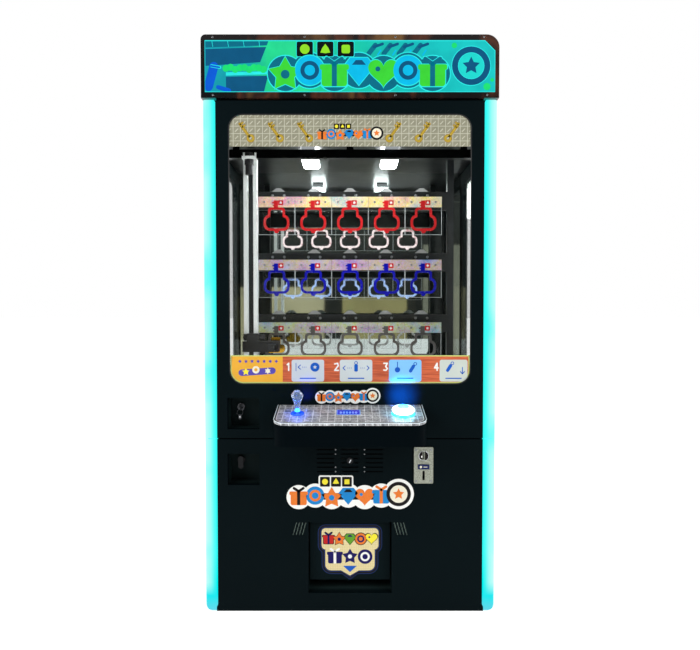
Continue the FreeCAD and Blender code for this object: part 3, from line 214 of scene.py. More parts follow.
def bar(u0, v0, u1, v1, width, steps=6):
    """Straight stroke of the width from one point to another, with half-round ends."""
    start, end = np.array([u0, v0]), np.array([u1, v1])
    heading = math.atan2(v1 - v0, u1 - u0)
    half = np.arange(steps + 1) / steps * math.pi
    far = heading - math.pi / 2 + half
    near = heading + math.pi / 2 + half
    arc = [np.stack([np.cos(t), np.sin(t)], 1) * width / 2 for t in (far, near)]
    return np.concatenate([end + arc[0], start + arc[1]])


def star(u, v, radius, points=5, inner=0.48, turn=90.0):
    """Star: the radius alternates between full and inner share at even steps of angle."""
    k = np.arange(2 * points)
    angle = math.radians(turn) + k * math.pi / points
    reach = np.where(k % 2 == 0, radius, radius * inner)
    return np.stack([u + reach * np.cos(angle), v + reach * np.sin(angle)], 1)


def heart(u, v, size):
    """Heart curve: 16 sin^3 t across, 13 cos t - 5 cos 2t - 2 cos 3t - cos 4t up, scaled."""
    t = -np.arange(40) / 40 * 2 * math.pi
    across = 16 * np.sin(t) ** 3
    upward = 13 * np.cos(t) - 5 * np.cos(2 * t) - 2 * np.cos(3 * t) - np.cos(4 * t)
    return np.stack([u + size * across / 34, v + size * (upward + 2) / 34], 1)


def shape(*points):
    return np.array(points, float)


def anticlockwise(outline):
    """Signed area by the shoelace sum; a clockwise outline is reversed."""
    u, v = outline[:, 0], outline[:, 1]
    area = np.sum(u * np.roll(v, -1) - np.roll(u, -1) * v)
    return outline if area > 0 else outline[::-1]


FRONT = (np.array([1.0, 0, 0]), np.array([0, 0, 1.0]))


def build_mesh(name, corners, faces, materials, smooth=False):
    mesh = bpy.data.meshes.new(name)
    mesh.from_pydata(corners.tolist(), [], faces)
    for material in materials:
        mesh.materials.append(material)
    mesh.polygons.foreach_set("use_smooth", np.full(len(mesh.polygons), smooth))
    mesh.update()
    return mesh


def layered(name, body, layers, origin, axes=FRONT, step=0.0003):
    """Flat shapes laid on a face, each as thick as its level times step.

    A corner (u, v) of an outline goes to origin + u*right + v*up, and its lid stands
    level*step along right x up. Outline, wall and lid are one closed prism.
    """
    right, up = axes
    normal = np.cross(right, up)
    corners, faces, inks, marks, start = [], [], [], [], 0
    for outline, level, ink in layers:
        outline = anticlockwise(np.asarray(outline, float))
        count = len(outline)
        flat = np.asarray(origin) + outline[:, :1] * right + outline[:, 1:] * up
        corners += [flat + normal * level * step, flat]
        index = np.arange(count) + start
        after = np.roll(index, -1)
        sides = np.stack([index, index + count, after + count, after], 1)
        own = [index.tolist(), (index[::-1] + count).tolist()] + sides.tolist()
        faces += own
        if ink not in inks:
            inks.append(ink)
        marks += [inks.index(ink)] * len(own)
        start += 2 * count
    mesh = build_mesh(name, np.concatenate(corners), faces, inks)
    mesh.polygons.foreach_set("material_index", np.array(marks, dtype=np.int32))
    return put(name, mesh, body)


def put(name, mesh, body):
    """Link a finished mesh as a piece that rides on a body."""
    piece = bpy.data.objects.new(name, mesh)
    bpy.context.scene.collection.objects.link(piece)
    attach(piece, body)
    return piece


def grid_faces(rows, columns, closed):
    """Quads over a grid of points, joined round where closed."""
    r = np.arange(rows if closed[0] else rows - 1)[:, None]
    c = np.arange(columns if closed[1] else columns - 1)[None, :]
    r2, c2 = (r + 1) % rows, (c + 1) % columns
    return np.stack([r * columns + c, r * columns + c2, r2 * columns + c2,
                     r2 * columns + c], -1).reshape(-1, 4)


def grid_mesh(name, points, material, closed=(False, True), smooth=True):
    """Mesh over a grid of points, shape (rows, columns, 3)."""
    faces = grid_faces(*points.shape[:2], closed)
    return build_mesh(name, points.reshape(-1, 3), faces.tolist(), [material], smooth)


def turned(profile, centre, axis, sides=40):
    """Grid of a surface of revolution: (radius, height) pairs turned about an axis."""
    axis = np.asarray(axis, float) / np.linalg.norm(axis)
    side = np.cross(axis, [0.0, 0.0, 1.0] if abs(axis[2]) < 0.9 else [1.0, 0.0, 0.0])
    side /= np.linalg.norm(side)
    other = np.cross(axis, side)
    turn = np.arange(sides) / sides * 2 * math.pi
    profile = np.asarray(profile, float)
    ring = np.cos(turn)[:, None] * side + np.sin(turn)[:, None] * other
    return (np.asarray(centre) + profile[:, 1][:, None, None] * axis
            + profile[:, 0][:, None, None] * ring[None])


def loop_strip(name, body, outline, section, y, material):
    """Carry a section (offset outwards, offset in Y) round a closed outline in the XZ plane.

    The outward direction at each corner is the tangent (next - previous) turned a right
    angle clockwise.
    """
    outline = anticlockwise(outline)
    along = np.roll(outline, -1, 0) - np.roll(outline, 1, 0)
    along /= np.linalg.norm(along, axis=1)[:, None]
    outward = np.stack([along[:, 1], -along[:, 0]], 1)
    section = np.asarray(section, float)
    flat = outline[:, None, :] + section[None, :, :1] * outward[:, None, :]
    depth = np.broadcast_to(y + section[None, :, 1], flat.shape[:2])
    points = np.stack([flat[..., 0], depth, flat[..., 1]], -1)
    return put(name, grid_mesh(name, points, material, (True, True)), body)


# Screw heads along the panels' edges: pan heads with a small recess.
screw_steel = finish("screw_steel", rgb(150, 152, 155), 0.3, 1.0, patch=(200, 0.3),
                     grain=(2000, 0.05))
screw_black = finish("screw_black", rgb(26, 28, 30), 0.35, 0.6, patch=(200, 0.3))


SCREW_SIDES = 14


def screw_heads(name, body, places, outward, radius, material):
    """Domed heads with a recess: (radius, height) pairs, both times the head's radius."""
    profile = np.array([(1.0, 0.0), (0.96, 0.3), (0.62, 0.55), (0.22, 0.6), (0.2, 0.4),
                        (0.0, 0.4)])
    grids = [turned(profile * radius, place, outward, SCREW_SIDES) for place in places]
    quads = grid_faces(len(profile), SCREW_SIDES, (False, True))
    faces = [quads + k * len(profile) * SCREW_SIDES for k in range(len(grids))]
    return put(name, build_mesh(name, np.concatenate(grids).reshape(-1, 3),
                                np.concatenate(faces).tolist(), [material], True), body)


side_low, side_high = box_of("side_panel_right")
for sign, name in SIDES:
    spots = [(sign * side_high[0], y, z) for y in (side_low[1] + 0.03, side_high[1] - 0.03)
             for z in np.linspace(side_low[2] + 0.06, side_high[2] - 0.06, 7)]
    screw_heads("side_screws_" + name, "cabinet", spots, (sign, 0, 0), 0.005, screw_black)
rear_low, rear_high = box_of("rear_panel")
spots = [(x, rear_high[1], z) for x in (rear_low[0] + 0.025, rear_high[0] - 0.025)
         for z in np.linspace(rear_low[2] + 0.06, rear_high[2] - 0.06, 7)]
screw_heads("rear_screws", "cabinet", spots, (0, 1, 0), 0.005, screw_black)

# ==== Game chamber: floor, ceiling with lamps, mirror back, side windows ===================
# Black sheet floor and ceiling, two LED bars with milky diffusers, mirrored acrylic at the
# back and clear side panes held behind the side panels.


def axis_value(tree, axis):
    """One Object coordinate as a number."""
    return join(tree, "SeparateXYZ", {0: here(tree)}).outputs[axis]


def cloud(tree, scale, detail=2.0, stretch=(1.0, 1.0, 1.0)):
    """Noise, 0 to 1, over Object coordinates multiplied by a factor on each axis."""
    place = join(tree, "Mapping", {0: here(tree), "Scale": stretch})
    return join(tree, "TexNoise", {"Vector": place.outputs[0], "Scale": scale,
                                          "Detail": detail}).outputs["Fac"]


def ramp(tree, value, low, high, stops, constant=False):
    """Colours by value between low and high."""
    scaled = join(tree, "MapRange", {"From Min": low, "From Max": high, "Value": value})
    node = join(tree, "ValToRGB", {0: scaled.outputs[0]})
    if constant:
        node.color_ramp.interpolation = "CONSTANT"
    while len(node.color_ramp.elements) < len(stops):
        node.color_ramp.elements.new(0.5)
    for element, (place, colour) in zip(node.color_ramp.elements, stops):
        element.position = place
        element.color = (*colour, 1)
    return node.outputs["Color"]


def lit_length(tree):
    """Bright between the bar's end housings, dark plastic over them, by depth."""
    housing = rgb(30, 31, 32)
    return ramp(tree, axis_value(tree, "Y"), -0.23, 0.04,
                [(0.0, housing), (0.2, (0.95, 0.98, 1.0)), (0.93, housing)], True)


chamber_black = finish("chamber_black", rgb(16, 18, 20), 0.32, patch=(14, 0.7), grain=(700, 0.1))
wear(chamber_black, "chamber_floor", "ceiling_panel")
lamp_diffuser = tint(finish("lamp_diffuser", (0.95, 0.97, 1.0), 0.5, patch=(30, 0.05)), lit_length)
glow(lamp_diffuser, 24.0)
wear(lamp_diffuser, "ceiling_lights")
light_low, light_high = box_of("ceiling_lights")
for sign, name in SIDES:
    middle = sign * (light_high[0] - 0.025)
    lens = rounded(middle, light_low[2] - 0.010, 0.062, 0.024, 0.009)
    layered("lamp_lens_" + name, "cabinet", [(lens, 1, lamp_diffuser)], (0, 0.018, 0),
            step=0.145)
mirror_face = finish("mirror_face", rgb(205, 214, 210), 0.03, 1.0, patch=(4, 0.06),
                     grain=(3, 0.02), spread=0.03)
wear(mirror_face, "back_mirror")


def clear_sheet(name, tone, alpha, roughness=0.02):
    """Thin clear sheet: mostly see-through; it hardly bends the view, its coat shines."""
    return finish(name, tone, roughness, patch=(6, 0.05), grain=(20, 0.0), spread=0.02,
                  Transmission_Weight=1.0, IOR=1.01, Coat_Weight=1.0, Alpha=alpha)


pane_glass = clear_sheet("pane_glass", rgb(225, 240, 236), 0.25)
wear(pane_glass, "side_glass")

# ==== Beams, clear plates, headers, trims and prize hooks ==================================
# Black channel beams carry clear acrylic plates on stand-offs. Each plate has a key-shaped
# hole with a coloured trim, a glittering header strip, a key-bit mark and a red label.

plate_acrylic = clear_sheet("plate_acrylic", rgb(235, 240, 240), 0.16, 0.03)
wear(plate_acrylic, "key_plates_top", "key_plates_middle", "key_plates_bottom")


def mix_colours(tree, factor, first, second, blend="MIX"):
    """Colour mix; first and second are sockets or plain colours."""
    first, second = ((*paint, 1) if isinstance(paint, tuple) else paint
                     for paint in (first, second))
    return join(tree, "Mix", {0: factor, 6: first, 7: second}, data_type="RGBA",
                blend_type=blend).outputs[2]


RED, BLUE, GREY = rgb(206, 38, 42), rgb(16, 18, 168), rgb(92, 90, 88)
TRIM_BACK_Y = -0.0602
ROW_FOOT, ROW_SPAN, ROW_SPLITS = 0.8, 0.8, (1.07, 1.30)


def by_row(tree, low, middle, high):
    """One flat colour for each row of plates, by height."""
    first, second = ((z - ROW_FOOT) / ROW_SPAN for z in ROW_SPLITS)
    return ramp(tree, axis_value(tree, "Z"), ROW_FOOT, ROW_FOOT + ROW_SPAN,
                [(0.0, low), (first, middle), (second, high)], True)


def row_paint_and_back_glow(tree):
    """Row colour by height; the back face, glued to the plate, gets a paler copy that glows:
    painted light.
    """
    face = by_row(tree, GREY, BLUE, RED)
    under = by_row(tree, rgb(150, 148, 148), rgb(176, 196, 240), rgb(252, 230, 234))
    behind = number(tree, "GREATER_THAN", axis_value(tree, "Y"), TRIM_BACK_Y)
    tree.links.new(mix_colours(tree, behind, (0.0, 0.0, 0.0), under),
                   tree.nodes["Principled BSDF"].inputs["Emission Color"])
    return mix_colours(tree, behind, face, under)


# The trims' back faces glow with their paler colour: painted light.
trim_gloss = tint(finish("trim_gloss", RED, 0.25, patch=(40, 0.15), Coat_Weight=0.3,
                         Emission_Strength=1.2), row_paint_and_back_glow)
wear(trim_gloss, "hole_trims")


def glitter(tree):
    """Fine cells over a slow drift from pink to lemon, paler and bluer row by row downwards."""
    cells = join(tree, "TexVoronoi", {"Vector": here(tree), "Scale": 640.0})
    slow = ramp(tree, cloud(tree, 11.0, 1.0), 0.3, 0.7,
                [(0.0, rgb(214, 178, 214)), (0.3, rgb(236, 214, 200)), (0.55, rgb(244, 240, 170)),
                 (0.8, rgb(226, 232, 226)), (1.0, rgb(190, 214, 232))])
    soft = mix_colours(tree, 0.9, slow, cells.outputs["Color"], "OVERLAY")
    sparkle = mix_colours(tree, 0.12, soft, cells.outputs["Color"], "ADD")
    row = by_row(tree, rgb(196, 208, 214), rgb(206, 192, 230), rgb(255, 236, 214))
    return mix_colours(tree, 1.0, sparkle, row, "MULTIPLY")


strip_film = tint(finish("strip_film", (0.8, 0.8, 0.8), 0.28, patch=(60, 0.2), Coat_Weight=0.6),
                  glitter)
wear(strip_film, "header_strips")
wear(screw_steel, "panel_screws")
hook_white = finish("hook_white", rgb(150, 152, 150), 0.35, patch=(20, 0.1), grain=(300, 0.05))
wear(hook_white, "prize_hooks")

plate_low, plate_high = box_of("key_plates_top")
PITCH = 0.137
PLATE_HALF, PLATE_HEIGHT, EDGE_WIDTH, EDGE_PROUD = 0.068, 0.141, 0.0012, 0.0003
# Bright, faintly glowing strips round each plate's cut edges: painted highlight.
edge_highlight = finish("edge_highlight", rgb(214, 222, 222), 0.15, patch=(60, 0.1), Alpha=0.55,
                  Specular_IOR_Level=0.8, light=((0.8, 0.85, 0.85), 0.3))


def ink(name, colour, roughness, metallic=0.0, patch=(60, 0.1)):
    """Dull printed ink: hardly any shine of its own."""
    return finish(name, colour, roughness, metallic, patch, Specular_IOR_Level=0.12)


mark_red = ink("mark_red", RED, 0.3)
mark_blue = ink("mark_blue", BLUE, 0.3)
mark_grey = ink("mark_grey", GREY, 0.3)
ink_white = ink("ink_white", rgb(238, 238, 234), 0.4, patch=(60, 0.05))
strip_front = box_of("header_strips")[0][1]
ROWS = [(1.449, mark_red), (1.215, mark_blue), (0.981, mark_grey)]
KEY_BIT = shape((-0.010, -0.043), (0.006, -0.043), (0.006, -0.014), (-0.010, -0.014),
                (-0.010, -0.019), (-0.016, -0.019), (-0.016, -0.025), (-0.010, -0.025),
                (-0.010, -0.030), (-0.014, -0.030), (-0.014, -0.035), (-0.010, -0.035))
edge_depth = plate_high[1] - plate_low[1] + 2 * EDGE_PROUD
edge_section = [(-EDGE_WIDTH, 0.0), (0.0, 0.0), (0.0, edge_depth), (-EDGE_WIDTH, edge_depth)]
mark_layers = []
for row, (top, paint) in enumerate(ROWS):
    for column in range(5):
        x = (column - 2) * PITCH
        label = (x + 0.016, top - 0.022)
        mark_layers += [(KEY_BIT + (x, top), 2, paint),
                        (rounded(*label, 0.019, 0.018, 0.002), 2, mark_red),
                        (star(*label, 0.006, 3 + (column + row) % 4, 0.62), 3, ink_white)]
layered("strip_marks", "cabinet", mark_layers, (0, strip_front, 0))
# Each plate's outline gets a strip standing proud of both faces: painted edge highlight.
for row, (top, _) in enumerate(ROWS):
    for column in range(5):
        x = (column - 2) * PITCH
        corners = shape((x - PLATE_HALF, top - PLATE_HEIGHT), (x + PLATE_HALF, top - PLATE_HEIGHT),
                        (x + PLATE_HALF, top), (x - PLATE_HALF, top))
        loop_strip("plate_edge_highlight_%d_%d" % (row, column), "cabinet", corners, edge_section,
                   plate_low[1] - EDGE_PROUD, edge_highlight)

# ==== Gantry, lift and key =================================================================
# Two rails, a column of two bright bars that rolls along them, a clamp that climbs the
# column, and the square bar whose gold key head goes through the holes.

rail_metal = tint(finish("rail_metal", rgb(190, 194, 196), 0.3, 1.0, patch=(8, 0.2),
                         grain=(250, 0.06)),
                  lambda tree: ramp(tree, axis_value(tree, "Z"), 1.0, 2.0,
                                           [(0.0, rgb(190, 194, 196)), (0.4, rgb(16, 18, 20))],
                                           True))
bar_steel = finish("bar_steel", rgb(70, 72, 76), 0.35, 1.0, patch=(40, 0.2), grain=(500, 0.05))
motor_black = finish("motor_black", rgb(30, 31, 33), 0.5, patch=(30, 0.3), grain=(600, 0.2))
# The white column glows faintly: painted light.
column_white_glow = finish("column_white_glow", rgb(236, 240, 238), 0.3, patch=(8, 0.12),
                      light=((0.9, 0.95, 0.93), 0.14))
key_gold = finish("key_gold", rgb(226, 176, 62), 0.22, 1.0, patch=(40, 0.25), grain=(500, 0.05))
wear(rail_metal, "x_rails")
wear(bar_steel, "key_bar")
wear(column_white_glow, "gantry_column")
wear(motor_black, "x_motor", "z_motor", "lift_carriage")
wear(key_gold, "key_head")

# ==== Parts of the service bay =============================================================
# Boards, coin gear and hinges behind the doors, in their usual plain finishes.

bracket_steel = finish("bracket_steel", rgb(140, 142, 145), 0.35, 1.0, patch=(30, 0.3))
moulded_black = finish("moulded_black", rgb(24, 26, 28), 0.55, patch=(16, 0.3), grain=(900, 0.3))
board_green = finish("board_green", rgb(20, 84, 50), 0.4, patch=(90, 0.5), grain=(300, 0.2))
wear(bracket_steel, "door_hinges", "joystick_yoke")
wear(moulded_black, "speaker", "coin_mech", "power_inlet")
wear(board_green, "main_board")

# ==== Upper door with its window ===========================================================
# A folded steel tray, powder coated, with a rounded window. The pane sits behind the sheet in
# a black rubber channel and carries two printed bands on its face.

# The coat turns a lighter teal grey on faces set back from the front, the pocket walls and inner
# flanges: painted light on the one black coat.
door_coat = tint(coat("door_coat"),
                 lambda tree: ramp(tree, axis_value(tree, "Y"), -0.30, -0.20,
                                          [(0.0, COAT_BLACK), (0.3, COAT_BLACK),
                                           (0.5, rgb(30, 44, 44)), (1.0, rgb(20, 30, 32))]))
wear(door_coat, "upper_door", "lower_door")
# The control box under the shelf wears a darker copy of the coat: painted shade.
shaded_box_coat = finish("shaded_box_coat", rgb(2, 8, 12), 0.5, patch=(2.5, 0.4), grain=(1100, 0.2),
                  Specular_IOR_Level=0.02)
wear(shaded_box_coat, "control_box")
window_glass = clear_sheet("window_glass_clear", rgb(236, 246, 244), 0.14)
wear(window_glass, "window_glass")

pane_low, pane_high = box_of("window_glass")
LAP = 0.015
WINDOW_R = 0.048
win_l, win_r = pane_low[0] + LAP, pane_high[0] - LAP
win_b, win_t = pane_low[2] + LAP, pane_high[2] - LAP
channel_rubber = finish("channel_rubber", rgb(12, 13, 14), 0.6, patch=(30, 0.3))
window_outline = rounded(0, (win_b + win_t) / 2, win_r - win_l, win_t - win_b, WINDOW_R, 12)
loop_strip("window_channel", "upper_door", window_outline,
           [(-0.0002, -0.0032), (-0.003, -0.0032), (-0.0034, -0.0015), (-0.003, 0.0),
            (-0.0002, 0.0)], pane_low[1], channel_rubber)

BAND_TOP_Z = 1.575
BAND_LOW_Z = 0.875
BAND_FRAME = 0.004
EDGE = 0.0035


def window_band(low, high, inset=0.0):
    """The window's outline between two heights, corners kept, pulled in by inset."""
    whole = rounded(0, (win_b + win_t) / 2, win_r - win_l - 2 * (EDGE + inset),
                    win_t - win_b - 2 * (EDGE + inset), WINDOW_R - EDGE - inset, 12)
    kept = whole[(whole[:, 1] > low) & (whole[:, 1] < high)]
    half = (win_r - win_l) / 2 - EDGE - inset
    level = low if high > win_t else high
    order = np.argsort(kept[:, 0])
    if high > win_t:
        return np.concatenate([[(half, level)], kept[order[::-1]], [(-half, level)]])
    return np.concatenate([[(-half, level)], kept[order], [(half, level)]])


def tile_print(line, field, dark, pitch, width):
    """Square tiles in light lines with a slanted stroke in each, by Object coordinates."""

    def build(tree):
        def maths(kind, *values):
            return number(tree, kind, *values)

        across, upward = (maths("WRAP", axis_value(tree, axis), pitch, 0.0)
                          for axis in "XZ")
        edge = maths("MAXIMUM", maths("LESS_THAN", across, width),
                     maths("LESS_THAN", upward, width))
        slant = maths("ABSOLUTE", maths("SUBTRACT", across, upward))
        middle = maths("ABSOLUTE", maths("SUBTRACT", maths("ADD", across, upward), pitch))
        stroke = maths("MULTIPLY", maths("LESS_THAN", slant, width),
                       maths("LESS_THAN", middle, pitch * 0.42))
        ground = mix_colours(tree, cloud(tree, 70.0), field, dark)
        return mix_colours(tree, maths("MAXIMUM", edge, stroke), ground, line)

    return build


band_tile = tint(finish("band_tile", rgb(165, 162, 140), 0.35, patch=(12, 0.15)),
                 tile_print(rgb(190, 189, 170), rgb(158, 156, 134), rgb(124, 122, 104),
                            0.0245, 0.0022))
ink_gold = finish("ink_gold", rgb(190, 160, 52), 0.35, 0.2, patch=(300, 0.6))
ink_gold_dark = ink("ink_gold_dark", rgb(150, 116, 30), 0.4, patch=(200, 0.3))
ink_orange = ink("ink_orange", rgb(226, 120, 48), 0.4, patch=(120, 0.25))
ink_blue = ink("ink_blue", rgb(28, 128, 196), 0.4, patch=(120, 0.25))
ink_black = ink("ink_black", rgb(22, 18, 18), 0.45, patch=(120, 0.2))
ink_cream = ink("ink_cream", rgb(232, 226, 205), 0.45, patch=(90, 0.1))
ink_yellow = ink("ink_yellow", rgb(240, 226, 60), 0.4, patch=(90, 0.1))


def gift(u, v, size, body_ink, band_ink, level):
    """Parcel: square, crossed ribbon and a bow of two slanted strokes."""
    s = size
    return [(rounded(u, v - 0.08 * s, 0.82 * s, 0.66 * s, 0.1 * s), level, body_ink),
            (rounded(u, v + 0.2 * s, 0.94 * s, 0.18 * s, 0.06 * s), level + 1, body_ink),
            (rounded(u, v - 0.06 * s, 0.16 * s, 0.7 * s, 0.02 * s), level + 2, band_ink),
            (bar(u, v + 0.3 * s, u - 0.24 * s, v + 0.46 * s, 0.13 * s), level + 2, band_ink),
            (bar(u, v + 0.3 * s, u + 0.24 * s, v + 0.46 * s, 0.13 * s), level + 2, band_ink)]


def ball(u, v, size, body_ink, band_ink, level):
    return [(disc(u, v, 0.47 * size), level, body_ink),
            (disc(u, v, 0.3 * size), level + 1, band_ink),
            (disc(u, v, 0.17 * size), level + 2, body_ink)]


def gem(u, v, size, body_ink, band_ink, level):
    s = size / 2
    outline = shape((0, -0.95), (0.98, 0.25), (0.55, 0.8), (-0.55, 0.8), (-0.98, 0.25))
    lid = shape((-0.45, 0.35), (-0.2, 0.65), (0.2, 0.65), (0.45, 0.35))
    return [(outline * s + (u, v), level, body_ink), (lid * s + (u, v), level + 1, band_ink)]


def star_badge(u, v, size, body_ink, band_ink, level):
    return [(star(u, v - 0.03 * size, 0.56 * size, 5, 0.55), level, body_ink),
            (disc(u, v - 0.03 * size, 0.14 * size), level + 1, band_ink)]


def heart_badge(u, v, size, body_ink, band_ink, level):
    return [(heart(u, v, size * 1.05), level, body_ink),
            (disc(u - 0.18 * size, v + 0.14 * size, 0.08 * size), level + 1, band_ink)]


def coin_badge(u, v, size, ring_ink, face_ink, mark_ink, level):
    return [(disc(u, v, 0.5 * size), level, ring_ink),
            (disc(u, v, 0.36 * size), level + 1, face_ink),
            (star(u, v, 0.24 * size, 5, 0.5), level + 2, mark_ink)]


def prize_row(u, v, width, height, inks, level=1, halo=0.12, tiles=True):
    """A row of six prize badges and a coin, each over a larger halo, tied by a dark bar."""
    first, second, halo_ink, dark, face, small = inks
    drawings = (gift, ball, star_badge, gem, heart_badge, gift)
    size = min(height * 0.74, width / 6.3)
    step = (width - size * 1.25) / 6
    layers = []
    base = v - (height - size) / 2 + halo * size / 2
    layers.append((rounded(u, base, width * 0.9, size * 0.62, size * 0.3), level, halo_ink))
    layers.append((rounded(u, base, width * 0.84, size * 0.34, size * 0.15), level + 1, dark))
    for k, draw in enumerate(drawings):
        cu = u - width / 2 + size * 0.55 + k * step
        cv = base + (0.04 if k % 2 else -0.04) * size
        paint, other = (first, second) if k % 2 == 0 else (second, first)
        layers.append((disc(cu, cv, size * (0.5 + halo)), level + 0.3 + 0.05 * k, halo_ink))
        layers += draw(cu, cv, size, paint, dark if k % 3 == 0 else other, level + 2)
    cu, cv = u + width / 2 - size * 0.66, base + size * 0.12
    layers.append((disc(cu, cv, size * 0.78), level + 0.7, halo_ink))
    layers += coin_badge(cu, cv, size * 1.25, dark, face, first, level + 5)
    if tiles:
        tile = size * 0.5
        for k in range(3):
            tu = u - width * 0.2 + k * tile * 1.12
            tv = base + size * 0.5 + tile * 0.5
            layers.append((rounded(tu, tv, tile * 1.3, tile * 1.3, tile * 0.2),
                           level + 0.75 + 0.05 * k, halo_ink))
            layers.append((rounded(tu, tv, tile, tile, tile * 0.08), level + 1.6, dark))
            mini = (disc(tu, tv, tile * 0.3), star(tu, tv, tile * 0.36, 3, 0.6),
                    rounded(tu, tv, tile * 0.5, tile * 0.5, 0.001))[k]
            layers.append((mini, level + 2.6, small))
    return layers


top_layers = [(window_band(BAND_TOP_Z, 9.0), 1, band_tile)]
for sign in (-1, 1):
    for place in (0.151, 0.249, 0.347):
        bow = (sign * (place - 0.017) - 0.0025, 1.602)
        bit = (sign * (place + 0.019) - 0.0025, 1.650)
        for level, paint, fat in ((2, ink_gold_dark, 0.0015), (3, ink_gold, 0.0)):
            top_layers.append((bar(*bow, *bit, 0.0066 + 2 * fat), level, paint))
            top_layers.append((disc(*bow, 0.0122 + fat), level, paint))
            for share in (0.78, 0.96):
                root = np.array(bow) + share * (np.array(bit) - np.array(bow))
                top_layers.append((bar(*root, root[0] - sign * 0.008, root[1] + 0.006,
                                       0.0045 + 2 * fat), level, paint))
        top_layers.append((disc(*bow, 0.005), 4, band_tile))
top_layers += prize_row(0.0, 1.628, 0.226, 0.066,
                        (ink_orange, ink_blue, band_tile, ink_black, ink_cream, ink_yellow), 2)
layered("window_top_band", "upper_door", top_layers, (0, pane_low[1], 0),
        step=0.00012)

plank = finish("plank_print", rgb(196, 88, 48), 0.4, patch=(20, 0.3), grain=(80, 0.2))


def planks(tree):
    """Long grain: noise stretched along X, between two tones of brown."""
    grain = cloud(tree, 1.0, stretch=(14.0, 60.0, 220.0))
    return ramp(tree, grain, 0.3, 0.7,
                [(0.0, rgb(168, 66, 34)), (1.0, rgb(214, 104, 60))])


tint(plank, planks)
card_ink = [finish("card_print_%d" % k, colour, 0.35, patch=(25, 0.12))
            for k, colour in enumerate((rgb(196, 205, 214), rgb(200, 208, 210),
                                        rgb(128, 192, 240), rgb(196, 204, 196)))]
ink_amber = ink("ink_amber", rgb(226, 168, 60), 0.4, patch=(14, 0.25))
ink_lime = ink("ink_lime", rgb(196, 206, 120), 0.4, patch=(10, 0.2))
ink_purple = ink("ink_purple", rgb(86, 76, 168), 0.4, patch=(60, 0.2))
ink_royal = ink("ink_royal", rgb(24, 88, 186), 0.4, patch=(90, 0.1))
low_edge = window_band(0.0, BAND_LOW_Z)
low_field = window_band(0.0, BAND_LOW_Z - BAND_FRAME, BAND_FRAME)
low_layers = [(low_edge, 1, ink_lime), (low_field, 2, plank)]
corner_z = low_field[:, 1].min()
split = -0.2275
left_arc = low_field[(low_field[:, 0] < split) & (low_field[:, 1] < BAND_LOW_Z - 0.005)]
low_layers.append((np.concatenate([[(-0.3975, BAND_LOW_Z - BAND_FRAME)], left_arc,
                                   [(split, corner_z), (split, BAND_LOW_Z - BAND_FRAME)]]), 3,
                   ink_amber))
low_layers += [(star(-0.372 + k * 0.0205, 0.8545, 0.0062, 4 + k % 3, 0.6), 4, ink_purple)
               for k in range(7)]
low_layers += [(bar(-0.366, 0.816, -0.262, 0.823, 0.022), 4, ink_purple),
               (disc(-0.318, 0.826, 0.0125), 5, ink_cream),
               (disc(-0.318, 0.826, 0.0055), 6, ink_amber),
               (star(-0.352, 0.819, 0.013, 5, 0.5), 5, ink_yellow),
               (star(-0.278, 0.822, 0.011, 6, 0.6), 5, ink_cream)]
CARDS = (-0.1425, 0.0205, 0.1865, 0.350)
CARD_WIDTHS, CARD_H, CARD_Z = (0.110, 0.110, 0.110, 0.094), 0.074, 0.823
for k, centre in enumerate(CARDS):
    low_layers.append((rounded(centre, CARD_Z, CARD_WIDTHS[k], CARD_H, 0.007), 4, card_ink[k]))
    low_layers.append((bar(centre - 0.026, 0.797, centre + 0.026, 0.797, 0.0038), 5, ink_royal))


def strokes(centre, *rows):
    """Bars (two ends, width) and discs (place, radius) in blue, across from a card's middle."""
    return [(bar(centre + r[0], r[1], centre + r[2], *r[3:]) if len(r) == 5
             else disc(centre + r[0], *r[1:]), 5, ink_royal) for r in rows]


c1, c2, c3, c4 = CARDS
low_layers += strokes(c1, (-0.040, 0.822, -0.040, 0.848, 0.0022), (0.024, 0.835, 0.0155),
                      (-0.033, 0.835, -0.025, 0.842, 0.003), (-0.033, 0.835, -0.025, 0.828, 0.003),
                      *((-0.018 + k * 0.006, 0.835, 0.0014) for k in range(3)))
low_layers += strokes(c2, (0, 0.849, 0.006),
                      *((sign * (0.016 + k * 0.006), 0.832, 0.0014)
                        for k in range(3) for sign in (-1, 1)),
                      *((sign * 0.044, 0.832, sign * 0.037, 0.832 + rise, 0.003)
                        for sign in (-1, 1) for rise in (-0.007, 0.007)))
low_layers += strokes(c3, (-0.026, 0.826, 0.009), (-0.026, 0.836, -0.026, 0.852, 0.003),
                      (0.018, 0.822, 0.028, 0.838, 0.011), (0.034, 0.846, 0.006))
low_layers += strokes(c4, (-0.020, 0.824, -0.010, 0.840, 0.011), (-0.004, 0.848, 0.006),
                      *((0.030, 0.812, *tip, 0.003) for tip in ((0.030, 0.834), (0.023, 0.820),
                                                                (0.037, 0.820))))
low_layers += [(rounded(c2, 0.832, 0.012, 0.024, 0.003), 5, ink_royal),
               (star(c1 + 0.024, 0.835, 0.007, 5, 0.5), 6, card_ink[0]),
               (disc(c2, 0.849, 0.0035), 6, card_ink[1]),
               (disc(c3 + 0.034, 0.846, 0.0035), 6, card_ink[2]),
               (disc(c4 - 0.004, 0.848, 0.0035), 6, card_ink[3])]


